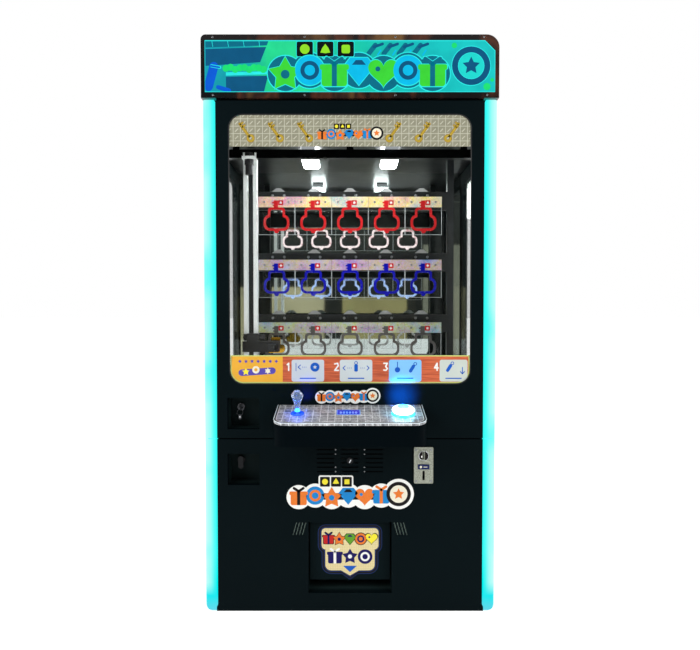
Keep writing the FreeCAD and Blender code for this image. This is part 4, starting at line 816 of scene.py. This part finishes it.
def digit_strokes(digit, u, v, size):
    """Step numbers 1 to 4 as straight strokes on a box one size tall and half as wide."""
    w, h = size * 0.26, size * 0.5
    lines = {1: [(-0.6, 0.6, 0.2, 1), (0.2, 1, 0.2, -1)],
             2: [(-1, 0.8, 0.6, 1), (0.6, 1, 0.9, 0.3), (0.9, 0.3, -1, -1), (-1, -1, 1, -1)],
             3: [(-1, 1, 0.9, 1), (0.9, 1, 0, 0.1), (0, 0.1, 0.9, -0.5), (0.9, -0.5, 0.2, -1),
                 (0.2, -1, -1, -0.9)],
             4: [(0.4, 1, -1, -0.3), (-1, -0.3, 1, -0.3), (0.4, 1, 0.4, -1)]}[digit]
    return [bar(u + a * w, v + b * h, u + c * w, v + d * h, size * 0.2) for a, b, c, d in lines]


for digit, centre, width in zip((1, 2, 3, 4), CARDS, CARD_WIDTHS):
    for k, stroke in enumerate(digit_strokes(digit, centre - width / 2 - 0.011, 0.836, 0.024)):
        low_layers.append((stroke, 5.5 + 0.2 * k, ink_white))
# The white backing of the lower band glows: painted light.
vinyl_white_glow = finish("vinyl_white_glow", rgb(238, 238, 240), 0.5, patch=(20, 0.06),
                     light=((0.9, 0.9, 0.92), 0.75))
layered("window_low_vinyl", "upper_door", [(low_edge, 1, vinyl_white_glow)], (0, pane_low[1], 0),
        step=0.0001)
layered("window_low_band", "upper_door", low_layers, (0, pane_low[1] - 0.0001, 0),
        step=0.00012)

# ==== Locks in the door pockets ============================================================
# Turned brass bodies, chromed, in the back walls of two pressed pockets: a key lock above and
# a lever lock below. The key ring and its tag hang straight down however the key is turned.

chrome = finish("chrome", rgb(205, 208, 212), 0.12, 1.0, patch=(60, 0.15), grain=(700, 0.03))
dark_chrome = finish("dark_chrome", rgb(70, 72, 76), 0.25, 1.0, patch=(60, 0.25))
black_chrome = finish("black_chrome", rgb(20, 21, 23), 0.22, 0.8, patch=(60, 0.3))
wear(chrome, "rear_lock")
wear(dark_chrome, "upper_lock")
wear(black_chrome, "lower_lock", "grille_lock")
lock_low, lock_high = box_of("upper_lock")
lock_x, lock_z = lock_high[0] - 0.013, (lock_low[2] + lock_high[2]) / 2
hang = np.array([(0.0, 0.0012), (0.0012, 0.0), (0.0, -0.0012), (-0.0012, 0.0)])
ring_y = lock_low[1] + 0.006
loop_strip("key_ring", "upper_door", disc(lock_x, lock_z - 0.016, 0.010, 24), hang, ring_y,
           dark_chrome)
# The four-point chrome star on the tag is a painted glint.
layered("key_tag", "upper_door",
        [(rounded(lock_x, lock_z - 0.031, 0.010, 0.016, 0.004), 5, dark_chrome),
         (star(lock_x, lock_z - 0.031, 0.0042, 4, 0.4), 6, chrome)], (0, ring_y, 0))

# ==== Control shelf ========================================================================
# A steel box bolted to the upper door. Its deck is a silver tile print under clear acrylic
# with a polished edge, and it holds the joystick, the credit window and the play button.

deck_low, deck_high = box_of("control_deck")
FACE_Y = deck_high[1]
DECK_BACK, DECK_FRONT, FOIL_TILE = 0.707, 0.675, 0.024
SLOPE = math.atan2(DECK_BACK - DECK_FRONT, deck_high[1] - deck_low[1])
DECK_AXES = (np.array([1.0, 0, 0]), np.array([0, math.cos(SLOPE), math.sin(SLOPE)]))
DECK_NORMAL = np.cross(*DECK_AXES)
DECK_LENGTH = (deck_high[1] - deck_low[1]) / math.cos(SLOPE)


def on_deck(x, back):
    """Place on the deck's face, back metres from the door."""
    return np.array([x, FACE_Y - back, DECK_BACK - back * math.tan(SLOPE)])


def silver_tiles(tree):
    """Foil tiles: square cells with bright lines and cloudy silver between them."""
    brick = join(tree, "TexBrick",
                 {"Vector": here(tree), "Scale": 1.0, "Brick Width": FOIL_TILE,
                  "Row Height": FOIL_TILE, "Mortar Size": 0.0012,
                  "Color1": (*rgb(120, 122, 126), 1), "Color2": (*rgb(168, 170, 172), 1),
                  "Mortar": (*rgb(225, 228, 230), 1)}, offset=0.0)
    spread = ramp(tree, cloud(tree, 120.0, 6.0), 0.35, 0.65,
                  [(0.0, (0.12, 0.12, 0.13)), (1.0, (1.0, 1.0, 1.0))])
    return mix_colours(tree, 0.7, brick.outputs["Color"], spread, "OVERLAY")


deck_foil = tint(finish("deck_foil", rgb(150, 152, 155), 0.42, 0.1, grain=(300, 0.3),
                        Coat_Weight=0.35, Coat_Roughness=0.2), silver_tiles)
wear(deck_foil, "control_deck")
# The polished acrylic edge of the deck glows faintly: painted highlight.
edge_acrylic_glow = finish("edge_acrylic_glow", rgb(225, 235, 240), 0.12, patch=(20, 0.1),
                      Coat_Weight=0.6, light=((0.8, 0.9, 1.0), 0.15))
EDGE_R = 0.040
corner_turn = np.arange(9) / 8 * math.pi / 2
half_w = deck_high[0] - 0.0002
corner_l = np.stack([-half_w + EDGE_R - EDGE_R * np.cos(corner_turn),
                     -DECK_LENGTH + EDGE_R - EDGE_R * np.sin(corner_turn)], 1)
corner_r = corner_l[::-1] * (-1, 1)
path = np.concatenate([[(-half_w, 0.0)], corner_l, corner_r, [(half_w, 0.0)]])
run = np.gradient(path, axis=0)
run /= np.linalg.norm(run, axis=1)[:, None]
side = np.stack([run[:, 1], -run[:, 0]], 1)


def rim(name, section, material):
    """Carry a section (outwards, upwards) along the deck's three free edges."""
    section = np.asarray(section, float)
    flat = path[:, None, :] + side[:, None, :] * section[None, :, :1]
    points = (on_deck(0, 0) + flat[..., :1] * DECK_AXES[0] + flat[..., 1:] * DECK_AXES[1]
              + section[None, :, 1:] * DECK_NORMAL)
    put(name, grid_mesh(name, points, material, smooth=False), "upper_door")


rim("deck_edge", [(0.0004, -0.0012), (0.0012, -0.0008), (0.0012, 0.0002), (0.0006, 0.0008),
                  (-0.0010, 0.0008), (-0.0010, 0.0002), (0.0, -0.0003), (0.0, -0.0012)],
    edge_acrylic_glow)
rim("deck_margin", [(-0.0012, 0.0), (-0.0012, 0.0003), (-0.0066, 0.0003), (-0.0066, 0.0)],
    ink_black)
rim("deck_border", [(-0.0066, 0.0), (-0.0066, 0.0005), (-0.0082, 0.0005), (-0.0082, 0.0)],
    ink_white)
deck_screws = [on_deck(x, back) + DECK_NORMAL * 0.002 for x, back in
               ((-0.228, 0.012), (0.228, 0.012), (-0.205, 0.150), (0.205, 0.150), (0.0, 0.152),
                (0.0, 0.008))]
screw_heads("deck_screws", "upper_door", deck_screws, DECK_NORMAL, 0.0045, screw_steel)

display_glow = finish("display_glow", rgb(40, 90, 230), 0.15, patch=(120, 0.8),
                      light=(rgb(50, 110, 255), 1.4),
                      Coat_Weight=1.0)
wear(display_glow, "credit_display")
display_middle = on_deck(-0.005, 0.067)
frame_ink = finish("display_frame", rgb(120, 170, 240), 0.25, patch=(60, 0.2),
                   light=(rgb(110, 170, 255), 0.35))
field_ink = finish("display_field", rgb(14, 34, 130), 0.2, patch=(90, 0.5),
                   light=(rgb(22, 60, 215), 0.7))
segment_ink = finish("segment_ink", rgb(120, 170, 250), 0.4,
                     light=(rgb(110, 170, 255), 0.6))
display_layers = [(rounded(0, 0, 0.078, 0.045, 0.003), 1, frame_ink),
                  (rounded(0, 0, 0.073, 0.040, 0.002), 2, field_ink)]
for k in range(6):
    digit = (-0.025 + 0.010 * k, -0.004)
    display_layers += [(rounded(*digit, 0.006, 0.014, 0.002), 3, segment_ink),
                       (rounded(*digit, 0.003, 0.008, 0.001), 4, field_ink)]
layered("display_marks", "upper_door", display_layers, display_middle, DECK_AXES)

stick_light = finish("stick_light", rgb(60, 130, 255), 0.2, patch=(30, 0.1), grain=(300, 0.02),
                     light=(rgb(40, 120, 255), 5.0))
stick_flange = finish("stick_flange", rgb(60, 100, 190), 0.2, patch=(60, 0.3),
                      light=(rgb(20, 80, 225), 0.28))
wear(stick_flange, "joystick_base")
bulb_clear = finish("bulb_clear", rgb(215, 230, 255), 0.04, patch=(40, 0.15), grain=(200, 0.02),
                    Transmission_Weight=0.92, Coat_Weight=1.0, Alpha=0.72,
                    light=(rgb(120, 175, 255), 0.12))
wear(bulb_clear, "joystick_stick")
stick_foot = on_deck(-0.171, 0.080)
glow_collar = [(0.0047, 0.0088), (0.0090, 0.0088), (0.0090, 0.0130), (0.0064, 0.0155),
               (0.0056, 0.0190), (0.0047, 0.0190)]
collar_grid = turned(glow_collar, stick_foot, DECK_NORMAL, 24)
put("joystick_collar", grid_mesh("joystick_collar", collar_grid, stick_light), "stick")

button_white = finish("button_white", rgb(225, 250, 255), 0.2, patch=(20, 0.05),
                      light=(rgb(205, 245, 255), 3.2))
button_cyan = finish("button_cyan", rgb(90, 220, 245), 0.15, patch=(20, 0.1),
                     light=(rgb(30, 190, 240), 1.5))
cap_cyan = finish("cap_cyan", rgb(150, 235, 250), 0.15, patch=(20, 0.1),
                  light=(rgb(110, 225, 250), 1.0))
wear(button_white, "button_dome")
wear(button_cyan, "button_bezel")
button_foot = on_deck(0.173, 0.080)
shell = [(0.0342, 0.0113), (0.0362, 0.0118), (0.0370, 0.0135), (0.0362, 0.0165), (0.0335, 0.0195),
         (0.0290, 0.0222), (0.0235, 0.0240), (0.0192, 0.0247)]
cap = [(0.0192, 0.0243), (0.0188, 0.0262), (0.0160, 0.0272), (0.0100, 0.0276), (0.0, 0.0277)]
for name, profile, material in (("button_shell", shell, button_white),
                                ("button_cap_ring", cap, cap_cyan)):
    grid = turned(profile, button_foot, DECK_NORMAL)
    put(name, grid_mesh(name, grid, material), "play_button")

# ==== Stickers on the doors ================================================================
# Cut vinyl pictures with a white border: prizes in a row above the shelf and, larger, on the
# lower door, and a prize-and-arrow sign on the flap.

sticker_inks = (ink_orange, ink_blue, ink_white, ink_black, ink_cream, ink_yellow)
layered("sticker_small", "upper_door",
        prize_row(-0.008, 0.741, 0.214, 0.052, sticker_inks, 1, 0.14, False),
        (0, FACE_Y, 0), step=0.00012)
layered("sticker_large", "lower_door", prize_row(-0.001, 0.420, 0.420, 0.124, sticker_inks, 1),
        (0, FACE_Y, 0), step=0.00012)

flap_black = finish("flap_black", rgb(8, 20, 23), 0.5, patch=(7, 0.4), grain=(600, 0.12),
                    Specular_IOR_Level=0.03)
wear(flap_black, "prize_flap")
ink_navy = ink("ink_navy", rgb(16, 44, 100), 0.4, patch=(60, 0.15))
ink_night = ink("ink_night", rgb(24, 18, 88), 0.4, patch=(60, 0.4))
ink_red = ink("ink_red", rgb(190, 36, 32), 0.4, patch=(60, 0.1))
ink_green = ink("ink_green", rgb(96, 156, 44), 0.4, patch=(60, 0.1))
ink_sand = tint(finish("ink_sand", rgb(214, 196, 140), 0.45),
                tile_print(rgb(226, 212, 160), rgb(208, 188, 130), rgb(200, 180, 122), 0.006,
                           0.0016))


def sign_outline(grow):
    """Sign shape: wide rounded head over a narrower foot that ends in a point."""
    head = rounded(0, 0.050, 0.196 + 2 * grow, 0.074 + 2 * grow, 0.014 + grow)
    foot = rounded(0, -0.016, 0.170 + 2 * grow, 0.088 + 2 * grow, 0.020 + grow)
    point = shape((-0.034 - grow, -0.058), (0.034 + grow, -0.058), (0, -0.078 - grow * 1.2))
    return [head, foot, point]


sign_y, sign_z = box_of("prize_flap")[0][1] + 0.003, 0.190
sign_layers = []
for level, grow, paint in ((1.0, 0.0125, ink_navy), (1.5, 0.0105, ink_black),
                           (2.0, 0.0045, ink_navy), (2.5, 0.0015, ink_black),
                           (3.0, 0.0, ink_sand)):
    sign_layers += [(part, level + 0.12 * k, paint) for k, part in enumerate(sign_outline(grow))]
for k, (draw, paint) in enumerate(((gift, ink_red), (star_badge, ink_orange), (gem, ink_green),
                                   (ball, ink_orange), (heart_badge, ink_yellow))):
    u = -0.074 + 0.037 * k
    sign_layers += draw(u, 0.050, 0.047, ink_black, ink_black, 3.5)
    sign_layers += draw(u, 0.050, 0.041, paint, ink_night, 6.0)
sign_layers += gift(-0.052, -0.012, 0.058, ink_night, ink_white, 3.5)
sign_layers += ball(0.052, -0.012, 0.054, ink_night, ink_white, 3.5)
sign_layers += star_badge(0.0, -0.010, 0.050, ink_night, ink_white, 3.5)
sign_layers += [(shape((-0.024, -0.044), (0.0, -0.066), (0.024, -0.044)), 3.5, ink_royal)]
layered("flap_sign", "prize_flap", sign_layers, (0, sign_y, sign_z),
        step=0.0002)

# ==== Lower door fittings ==================================================================
# Small steel screws beside the grille slots, dark cloths behind the slots as painted shade,
# punched vent sheets, and a cast coin entry plate with its label, screws, bezel and ring.

grille_spots = [(x, FACE_Y, z) for x in (-0.049, 0.049) for z in (0.555, 0.540, 0.495, 0.480)]
screw_heads("grille_screws", "lower_door", grille_spots, (0, -1, 0), 0.0026, screw_steel)
# Near-black cloths behind the two slot groups: painted shade in the slots.
slot_shade_cloth = finish("slot_shade_cloth", rgb(6, 7, 8), 0.9, patch=(30, 0.3), Specular_IOR_Level=0.02)
for sign, name in SIDES:
    layered("slot_shade_cloth_" + name, "lower_door",
            [(rounded(sign * 0.083, 0.517, 0.066, 0.094, 0.003), 2, slot_shade_cloth)],
            (0, FACE_Y + 0.0030, 0))


def gauze(tree):
    """Punched sheet: pale metal with a dark hole in every 4 mm cell."""
    holes = join(tree, "TexVoronoi", {"Vector": here(tree), "Scale": 250.0,
                                             "Randomness": 0.0})
    return ramp(tree, holes.outputs["Distance"], 0.0, 1.0,
                [(0.0, rgb(8, 12, 12)), (0.42, rgb(120, 146, 134))], True)


vent_gauze = tint(finish("vent_gauze", rgb(110, 135, 125), 0.4, 0.2), gauze)
for sign, name in SIDES:
    layered("vent_gauze_" + name, "lower_door",
            [(shape((sign * 0.158, 0.258), (sign * 0.206, 0.258), (sign * 0.192, 0.310),
                    (sign * 0.144, 0.310)), 2, vent_gauze)],
            (0, FACE_Y + 0.0030, 0))
coin_cast = finish("coin_cast", rgb(152, 156, 142), 0.42, 0.3, patch=(240, 2.2),
                   grain=(420, 1.0))
wear(coin_cast, "coin_faceplate")
label_blue = finish("label_blue", rgb(20, 34, 84), 0.3, patch=(60, 0.2), Specular_IOR_Level=0.15)
wear(label_blue, "coin_button")
coin_low, coin_high = box_of("coin_faceplate")
coin_x = (coin_low[0] + coin_high[0]) / 2
spots = [(coin_x + s * 0.025, coin_low[1] + 0.003, z) for s in (-1, 1)
         for z in (coin_low[2] + 0.008, coin_high[2] - 0.008)]
screw_heads("coin_screws", "lower_door", spots, (0, -1, 0), 0.004, screw_steel)
button_low, button_high = box_of("coin_button")
coin_button_z = (button_low[2] + button_high[2]) / 2
layered("coin_button_mark", "coin_button",
        [(disc(coin_x - 0.010, coin_button_z, 0.0042), 1, ink_cream),
         (bar(coin_x, coin_button_z, coin_x + 0.011, coin_button_z, 0.0022), 1, ink_cream)],
        (0, button_low[1], 0))
bezel_z = coin_low[2] + 0.095
half_disc = disc(0, 0, 0.0152, 48)
half_disc = half_disc[half_disc[:, 0] < -0.0024]
layered("coin_bezel_disc", "lower_door",
        [(half_disc * (way, 1) + (coin_x, bezel_z), 1, ink_black) for way in (-1, 1)]
        + [(rounded(coin_x - 0.007, bezel_z - 0.003, 0.004, 0.007, 0.001), 2, ink_white)],
        (0, coin_low[1], 0))
# A short slanted chrome bar on the grille lock's face: painted glint.
lock_face = box_of("grille_lock")[0][1]
layered("grille_lock_glint", "grille_lock",
        [(bar(-0.002, 0.512, 0.003, 0.520, 0.0026), 1, chrome)], (0, lock_face, 0))
loop_strip("coin_bezel_ring", "lower_door", disc(coin_x, bezel_z, 0.0165, 32),
           [(0.0, -0.0006), (0.0013, 0.0), (0.0, 0.0006), (-0.0013, 0.0)], coin_low[1], chrome)

# ==== Skirt under the front ================================================================
# A folded strip, painted like the panels, under the tray's front edge. It closes the gap to
# the ground.

skirt_x, skirt_top, skirt_y = 0.4545, 0.0146, FACE_Y + 0.0005
skirt_back = box_of("base_tray")[0][1] + 0.004
skirt = shape((skirt_y, skirt_top), (skirt_back, skirt_top), (skirt_back, 0.0100),
              (skirt_y + 0.003, 0.0100), (skirt_y + 0.003, 0.0010), (skirt_y, 0.0010))
layered("front_skirt", "cabinet", [(skirt, 1, powder_coat)], (-skirt_x, 0, 0),
        (np.array([0.0, 1.0, 0.0]), np.array([0.0, 0.0, 1.0])), step=2 * skirt_x)

# ==== Corner lights ========================================================================
# Milky acrylic covers over LED tape, one down each front corner. The light is evenest at the
# middle, whiter at the outer edge and dimmer below the tape's end.


def corner_glow(tree):
    """Cyan by height, bluer at the foot, whiter outwards where slow noise up the tape allows."""
    outward = number(tree, "ABSOLUTE", axis_value(tree, "X"))
    height = axis_value(tree, "Z")
    upward = ramp(tree, height, 0.0, 0.2,
                  [(0.0, rgb(96, 212, 232)), (0.25, rgb(12, 232, 240)), (0.5, rgb(0, 244, 240)),
                   (1.0, rgb(52, 252, 246))])
    edge = ramp(tree, outward, 0.455, 0.4925,
                [(0.0, (0.0, 0.0, 0.0)), (0.2, (0.12, 0.12, 0.12)), (0.5, (0.6, 0.6, 0.6)),
                 (0.85, (0.95, 0.95, 0.95))])
    patch = ramp(tree, cloud(tree, 4.0), 0.36, 0.5,
                 [(0.0, (0.35, 0.35, 0.35)), (1.0, (1.0, 1.0, 1.0))])
    foot = ramp(tree, height, 0.055, 0.10, [(0.0, (0.0, 0.0, 0.0)), (1.0, (1.0, 1.0, 1.0))])
    share = mix_colours(tree, 1.0, mix_colours(tree, 1.0, edge, patch, "MULTIPLY"),
                        foot, "MULTIPLY")
    return mix_colours(tree, share, upward, rgb(196, 255, 250))


light_cover = tint(finish("light_cover", (0.3, 1, 1), 0.35, patch=(9, 0.06),
                          Specular_IOR_Level=0.1), corner_glow)
glow(light_cover, 1.0)
wear(light_cover, "corner_light_left", "corner_light_right")
cover_low, cover_high = box_of("corner_light_right")
joint_band = finish("joint_band", rgb(60, 215, 215), 0.4, patch=(20, 0.1),
                    light=(rgb(50, 205, 208), 0.7))
for sign, name in SIDES:
    middle = sign * (cover_low[0] + cover_high[0] - 0.012) / 2
    layered("light_joint_" + name, "cabinet",
            [(rounded(middle, 0.592, cover_high[0] - cover_low[0] - 0.013, 0.0025, 0.0004), 1,
              joint_band)], (0, cover_low[1], 0))

# ==== Header ===============================================================================
# A box of printed sheet, dark and wood-like, round a lit acrylic face with a cut corner. The
# face is printed with prizes in greens and blues over a teal ground.


def dark_wood(tree):
    """Broad brown and black bands: noise stretched along X, plus finer grain."""
    bands = cloud(tree, 1.0, 3.0, (6.5, 2.0, 3.0))
    return ramp(tree, bands, 0.3, 0.72,
                [(0.0, rgb(8, 8, 10)), (0.5, rgb(20, 14, 14)), (0.66, rgb(74, 40, 26)),
                 (0.8, rgb(40, 26, 22)), (1.0, rgb(104, 74, 40))])


header_wood = tint(finish("header_wood", rgb(60, 35, 25), 0.25, patch=(14, 0.4), Coat_Weight=0.5,
                          Coat_Roughness=0.08, Specular_IOR_Level=0.2), dark_wood)
wear(header_wood, "marquee_box")


def header_ground(tree):
    """Teal at the left, green in the middle, cyan at the right, with drifting clouds."""
    across = axis_value(tree, "X")
    field = ramp(tree, across, -0.49, 0.49,
                 [(0.0, rgb(22, 176, 196)), (0.16, rgb(20, 184, 186)), (0.22, rgb(40, 236, 158)),
                  (0.34, rgb(44, 238, 160)), (0.5, rgb(24, 214, 178)), (0.72, rgb(20, 208, 204)),
                  (1.0, rgb(28, 218, 214))])
    shade = ramp(tree, cloud(tree, 16.0, 5.0), 0.35, 0.65,
                 [(0.0, (0.72, 0.82, 0.86)), (1.0, (1.0, 1.0, 1.0))])
    return mix_colours(tree, 1.0, field, shade, "MULTIPLY")


def lit_ink(name, colour, strength=0.95):
    """Translucent ink with the lamp behind it: its colour is its light."""
    return glow(finish(name, colour, 0.3, patch=(30, 0.35), Specular_IOR_Level=0.04), strength)


header_face = tint(finish("header_face", (0.1, 0.8, 0.75), 0.25, patch=(10, 0.1),
                          Specular_IOR_Level=0.04), header_ground)
glow(header_face, 0.9)
wear(header_face, "marquee_face")
lit_green = lit_ink("lit_green", rgb(62, 222, 58))
lit_blue = lit_ink("lit_blue", rgb(0, 196, 244))
lit_halo = lit_ink("lit_halo", rgb(44, 244, 240))
lit_teal = lit_ink("lit_teal", rgb(2, 122, 150), 0.8)
lit_deep = lit_ink("lit_deep", rgb(6, 96, 142), 0.8)
lit_dark = lit_ink("lit_dark", rgb(4, 30, 34), 0.3)
lit_scroll = lit_ink("lit_scroll", rgb(0, 96, 226), 0.9)
lit_leaf = lit_ink("lit_leaf", rgb(30, 232, 120))
lit_pale = lit_ink("lit_pale", rgb(30, 224, 214))
lit_lime = lit_ink("lit_lime", rgb(150, 232, 40))
face_front = box_of("marquee_face")[0][1]
H_LEFT, H_RIGHT, H_LOW, H_TOP = -0.4815, 0.4815, 1.751, 1.921
header_layers = [
    (shape((-0.4795, 1.838), (-0.298, 1.850), (-0.278, 1.900), (-0.4795, 1.893)), 1, lit_deep),
    (shape((-0.4795, 1.898), (-0.276, 1.905), (-0.270, 1.9205), (-0.4795, 1.9205)), 1, lit_teal),
    (shape((-0.412, 1.752), (-0.286, 1.752), (-0.272, 1.806), (-0.412, 1.802)), 1, lit_deep),
    (shape((-0.412, 1.806), (-0.270, 1.811), (-0.270, 1.820), (-0.412, 1.817)), 1.5, lit_halo),
    (bar(-0.452, 1.836, -0.470, 1.770, 0.030), 2, lit_scroll),
    (bar(-0.460, 1.838, -0.432, 1.833, 0.010), 3, lit_halo),
    (bar(-0.462, 1.838, -0.434, 1.833, 0.006), 4, lit_scroll),
    (bar(-0.438, 1.768, -0.402, 1.757, 0.014), 2, lit_scroll)]
header_layers += [(disc(-0.412 + 0.0155 * k, 1.830 + 0.004 * math.sin(2.2 * k), 0.0115), 2,
                   lit_leaf) for k in range(9)]
header_layers += [(bar(-0.455 + 0.052 * k, 1.901, -0.458 + 0.052 * k, 1.919, 0.0016), 2,
                   lit_halo) for k in range(4)]
glyphs = (star_badge, ball, gift, gem, heart_badge, ball, gift)
size = 0.116
for k, draw in enumerate(glyphs):
    u = -0.215 + 0.0815 * k
    v = 1.815 + (0.008 if k % 2 else -0.002)
    first, second = (lit_green, lit_teal) if k % 2 == 0 else (lit_blue, lit_deep)
    header_layers += [(disc(u, v, size * 0.53), 2 + 0.2 * (k % 2), lit_halo),
                      (disc(u, v, size * 0.50), 2.6 + 0.2 * (k % 2), lit_teal)]
    header_layers += draw(u, v, size * 0.95, lit_halo, lit_halo, 4 + 0.1 * k)
    header_layers += draw(u, v, size * 0.89, first, second, 7 + 0.1 * k)
for u, outline in ((-0.150, disc(0, 0, 0.016)), (-0.082, star(0, -0.002, 0.019, 3, 0.62)),
                   (-0.014, rounded(0, 0, 0.028, 0.028, 0.006))):
    v = 1.893
    header_layers += [(rounded(u, v, 0.058, 0.053, 0.006), 3.0, lit_halo),
                      (rounded(u, v, 0.054, 0.049, 0.005), 3.3, lit_dark),
                      (outline + (u, v), 3.6, lit_lime)]
for k in range(4):
    x = 0.062 + 0.050 * k
    header_layers += [(bar(x, 1.878, x + 0.022, 1.906, 0.016), 1.2, lit_teal),
                      (bar(x + 0.018, 1.900, x + 0.046, 1.910, 0.009), 1.3, lit_deep),
                      (bar(x + 0.030, 1.874, x + 0.040, 1.889, 0.005), 1.4, lit_blue)]
COIN_AT = (0.402, 1.838)
header_layers += [(disc(*COIN_AT, radius), level, paint) for radius, level, paint in
                  ((0.066, 5, lit_halo), (0.0635, 5.5, lit_deep), (0.044, 6, lit_halo),
                   (0.042, 6.5, lit_pale))]
header_layers += [(star(*COIN_AT, 0.030, 5, 0.5), 7, lit_deep),
                  (disc(0.455, 1.770, 0.012), 1.5, lit_leaf),
                  (disc(0.472, 1.792, 0.006), 1.5, lit_leaf),
                  (disc(0.346, 1.905, 0.009), 1.5, lit_leaf)]
layered("header_picture", "cabinet", header_layers, (0, face_front, 0),
        step=0.0002)
header_outline = shape((H_LEFT, H_LOW), (H_RIGHT, H_LOW), (H_RIGHT, H_TOP - 0.034),
                       (H_RIGHT - 0.034, H_TOP), (H_LEFT, H_TOP))
loop_strip("header_bead", "cabinet", header_outline,
           [(-0.0001, -0.0030), (-0.0022, -0.0028), (-0.0026, -0.0012), (-0.0001, -0.0002)],
           face_front, lit_halo)

# ==== Rear door ============================================================================
# Plain sheet service door in the back, with louvres and a cam lock.

wear(powder_coat, "rear_door")

# ==== Floor, lamps and camera ==============================================================
# A pale floor, soft boxes, small blue lamps by the button and the stick, boards for the
# mirror to show, and a camera at chest height in front of the machine.

floor_white = finish("studio_floor", (0.88, 0.88, 0.88), 0.7, patch=(0.5, 0.02),
                     grain=(50, 0.0), light=((1, 1, 1), 0.68), Specular_IOR_Level=0.1)
floor = bpy.data.objects.new("studio_floor", build_mesh(
    "studio_floor", shape((-40, -12, 0), (40, -12, 0), (40, 60, 0), (-40, 60, 0)),
    [(0, 1, 2, 3)], [floor_white]))
bpy.context.scene.collection.objects.link(floor)


def lamp(name, kind, place, target, power, colour=(1, 1, 1), **settings):
    """A lamp of this kind that looks from its place at the target."""
    light = bpy.data.lights.new(name, kind)
    light.energy, light.color = power, colour
    for label, value in settings.items():
        setattr(light, label, value)
    holder = bpy.data.objects.new(name, light)
    holder.location = place
    aim = Vector(target) - Vector(place)
    holder.rotation_euler = aim.to_track_quat("-Z", "Y").to_euler()
    bpy.context.scene.collection.objects.link(holder)


for name, place, height, width, power in (("left_box", (-2.6, -2.4, 2.3), 0.9, 1.6, 55),
                                          ("right_box", (2.6, -2.4, 2.3), 0.9, 1.6, 55),
                                          ("rear_box", (0.5, 3.2, 2.6), 1.0, 2.4, 60)):
    lamp(name, "AREA", place, (0, 0, height), power, shape="RECTANGLE", size=width, size_y=1.6)
for name, place, target, power, colour, angle in (
        ("button_lamp", (0.173, -0.392, 0.727), (0.176, FACE_Y, 0.740), 14, rgb(0, 110, 255), 70),
        ("stick_lamp", (-0.150, -0.350, 0.722), (-0.146, FACE_Y, 0.752), 1.0, rgb(0, 40, 255), 62),
        ("stick_pool", (-0.171, -0.372, 0.745), (-0.171, -0.370, 0.690), 1.1, rgb(10, 90, 255),
         120),
        ("button_pool", (0.173, -0.400, 0.735), (0.173, -0.372, 0.690), 0.35, rgb(60, 200, 255),
         130)):
    lamp(name, "SPOT", place, target, power, colour, spot_size=math.radians(angle),
         spot_blend=1.0, shadow_soft_size=0.006)


def card(name, x0, x1, z0, z1, y, tone):
    """Upright board behind the viewer, there for the mirror and the glass to show."""
    paint = finish(name, tone, 0.9, patch=(2.0, 0.8), grain=(20, 0.0), Specular_IOR_Level=0.0)
    mesh = build_mesh(name, shape((x0, y, z0), (x1, y, z0), (x1, y, z1), (x0, y, z1)),
                      [(0, 3, 2, 1)], [paint])
    board = bpy.data.objects.new(name, mesh)
    board.visible_camera = False
    bpy.context.scene.collection.objects.link(board)
    return board


card("dark_wall", -5.0, 5.0, 0.0, 4.2, -6.0, rgb(70, 72, 70))
card("pale_crate", -1.6, -0.35, 0.35, 1.32, -5.4, rgb(205, 196, 160))
card("low_crate", -0.1, 0.75, 0.45, 1.18, -5.2, rgb(176, 166, 118))
card("tall_crate", 1.0, 2.2, 0.2, 1.9, -5.5, rgb(150, 150, 135))
card("left_curtain", -3.2, -1.9, 0.0, 2.6, -4.6, rgb(200, 204, 198))

world = bpy.data.worlds.new("studio")
bpy.context.scene.world = world
world.use_nodes = True
sky = world.node_tree
ambient = sky.nodes["Background"]
ambient.inputs["Color"].default_value = (1, 1, 1, 1)
ambient.inputs["Strength"].default_value = 0.4
seen = join(sky, "Background", {"Color": (1, 1, 1, 1), "Strength": 1.0})
rays = join(sky, "LightPath")
blend = join(sky, "MixShader", {0: rays.outputs["Is Camera Ray"], 1: ambient.outputs[0],
                                2: seen.outputs[0]})
sky.links.new(blend.outputs[0], sky.nodes["World Output"].inputs["Surface"])

camera_data = bpy.data.cameras.new("camera")
camera_data.sensor_width = 36.0
camera_data.lens = 31.3
camera = bpy.data.objects.new("camera", camera_data)
camera.location = (0.0, FACE_Y - 2.05, 1.034)
camera.rotation_euler = (math.radians(90 - 1.58), 0, 0)
bpy.context.scene.collection.objects.link(camera)
bpy.context.scene.camera = camera
bpy.context.scene.view_settings.view_transform = "Standard"
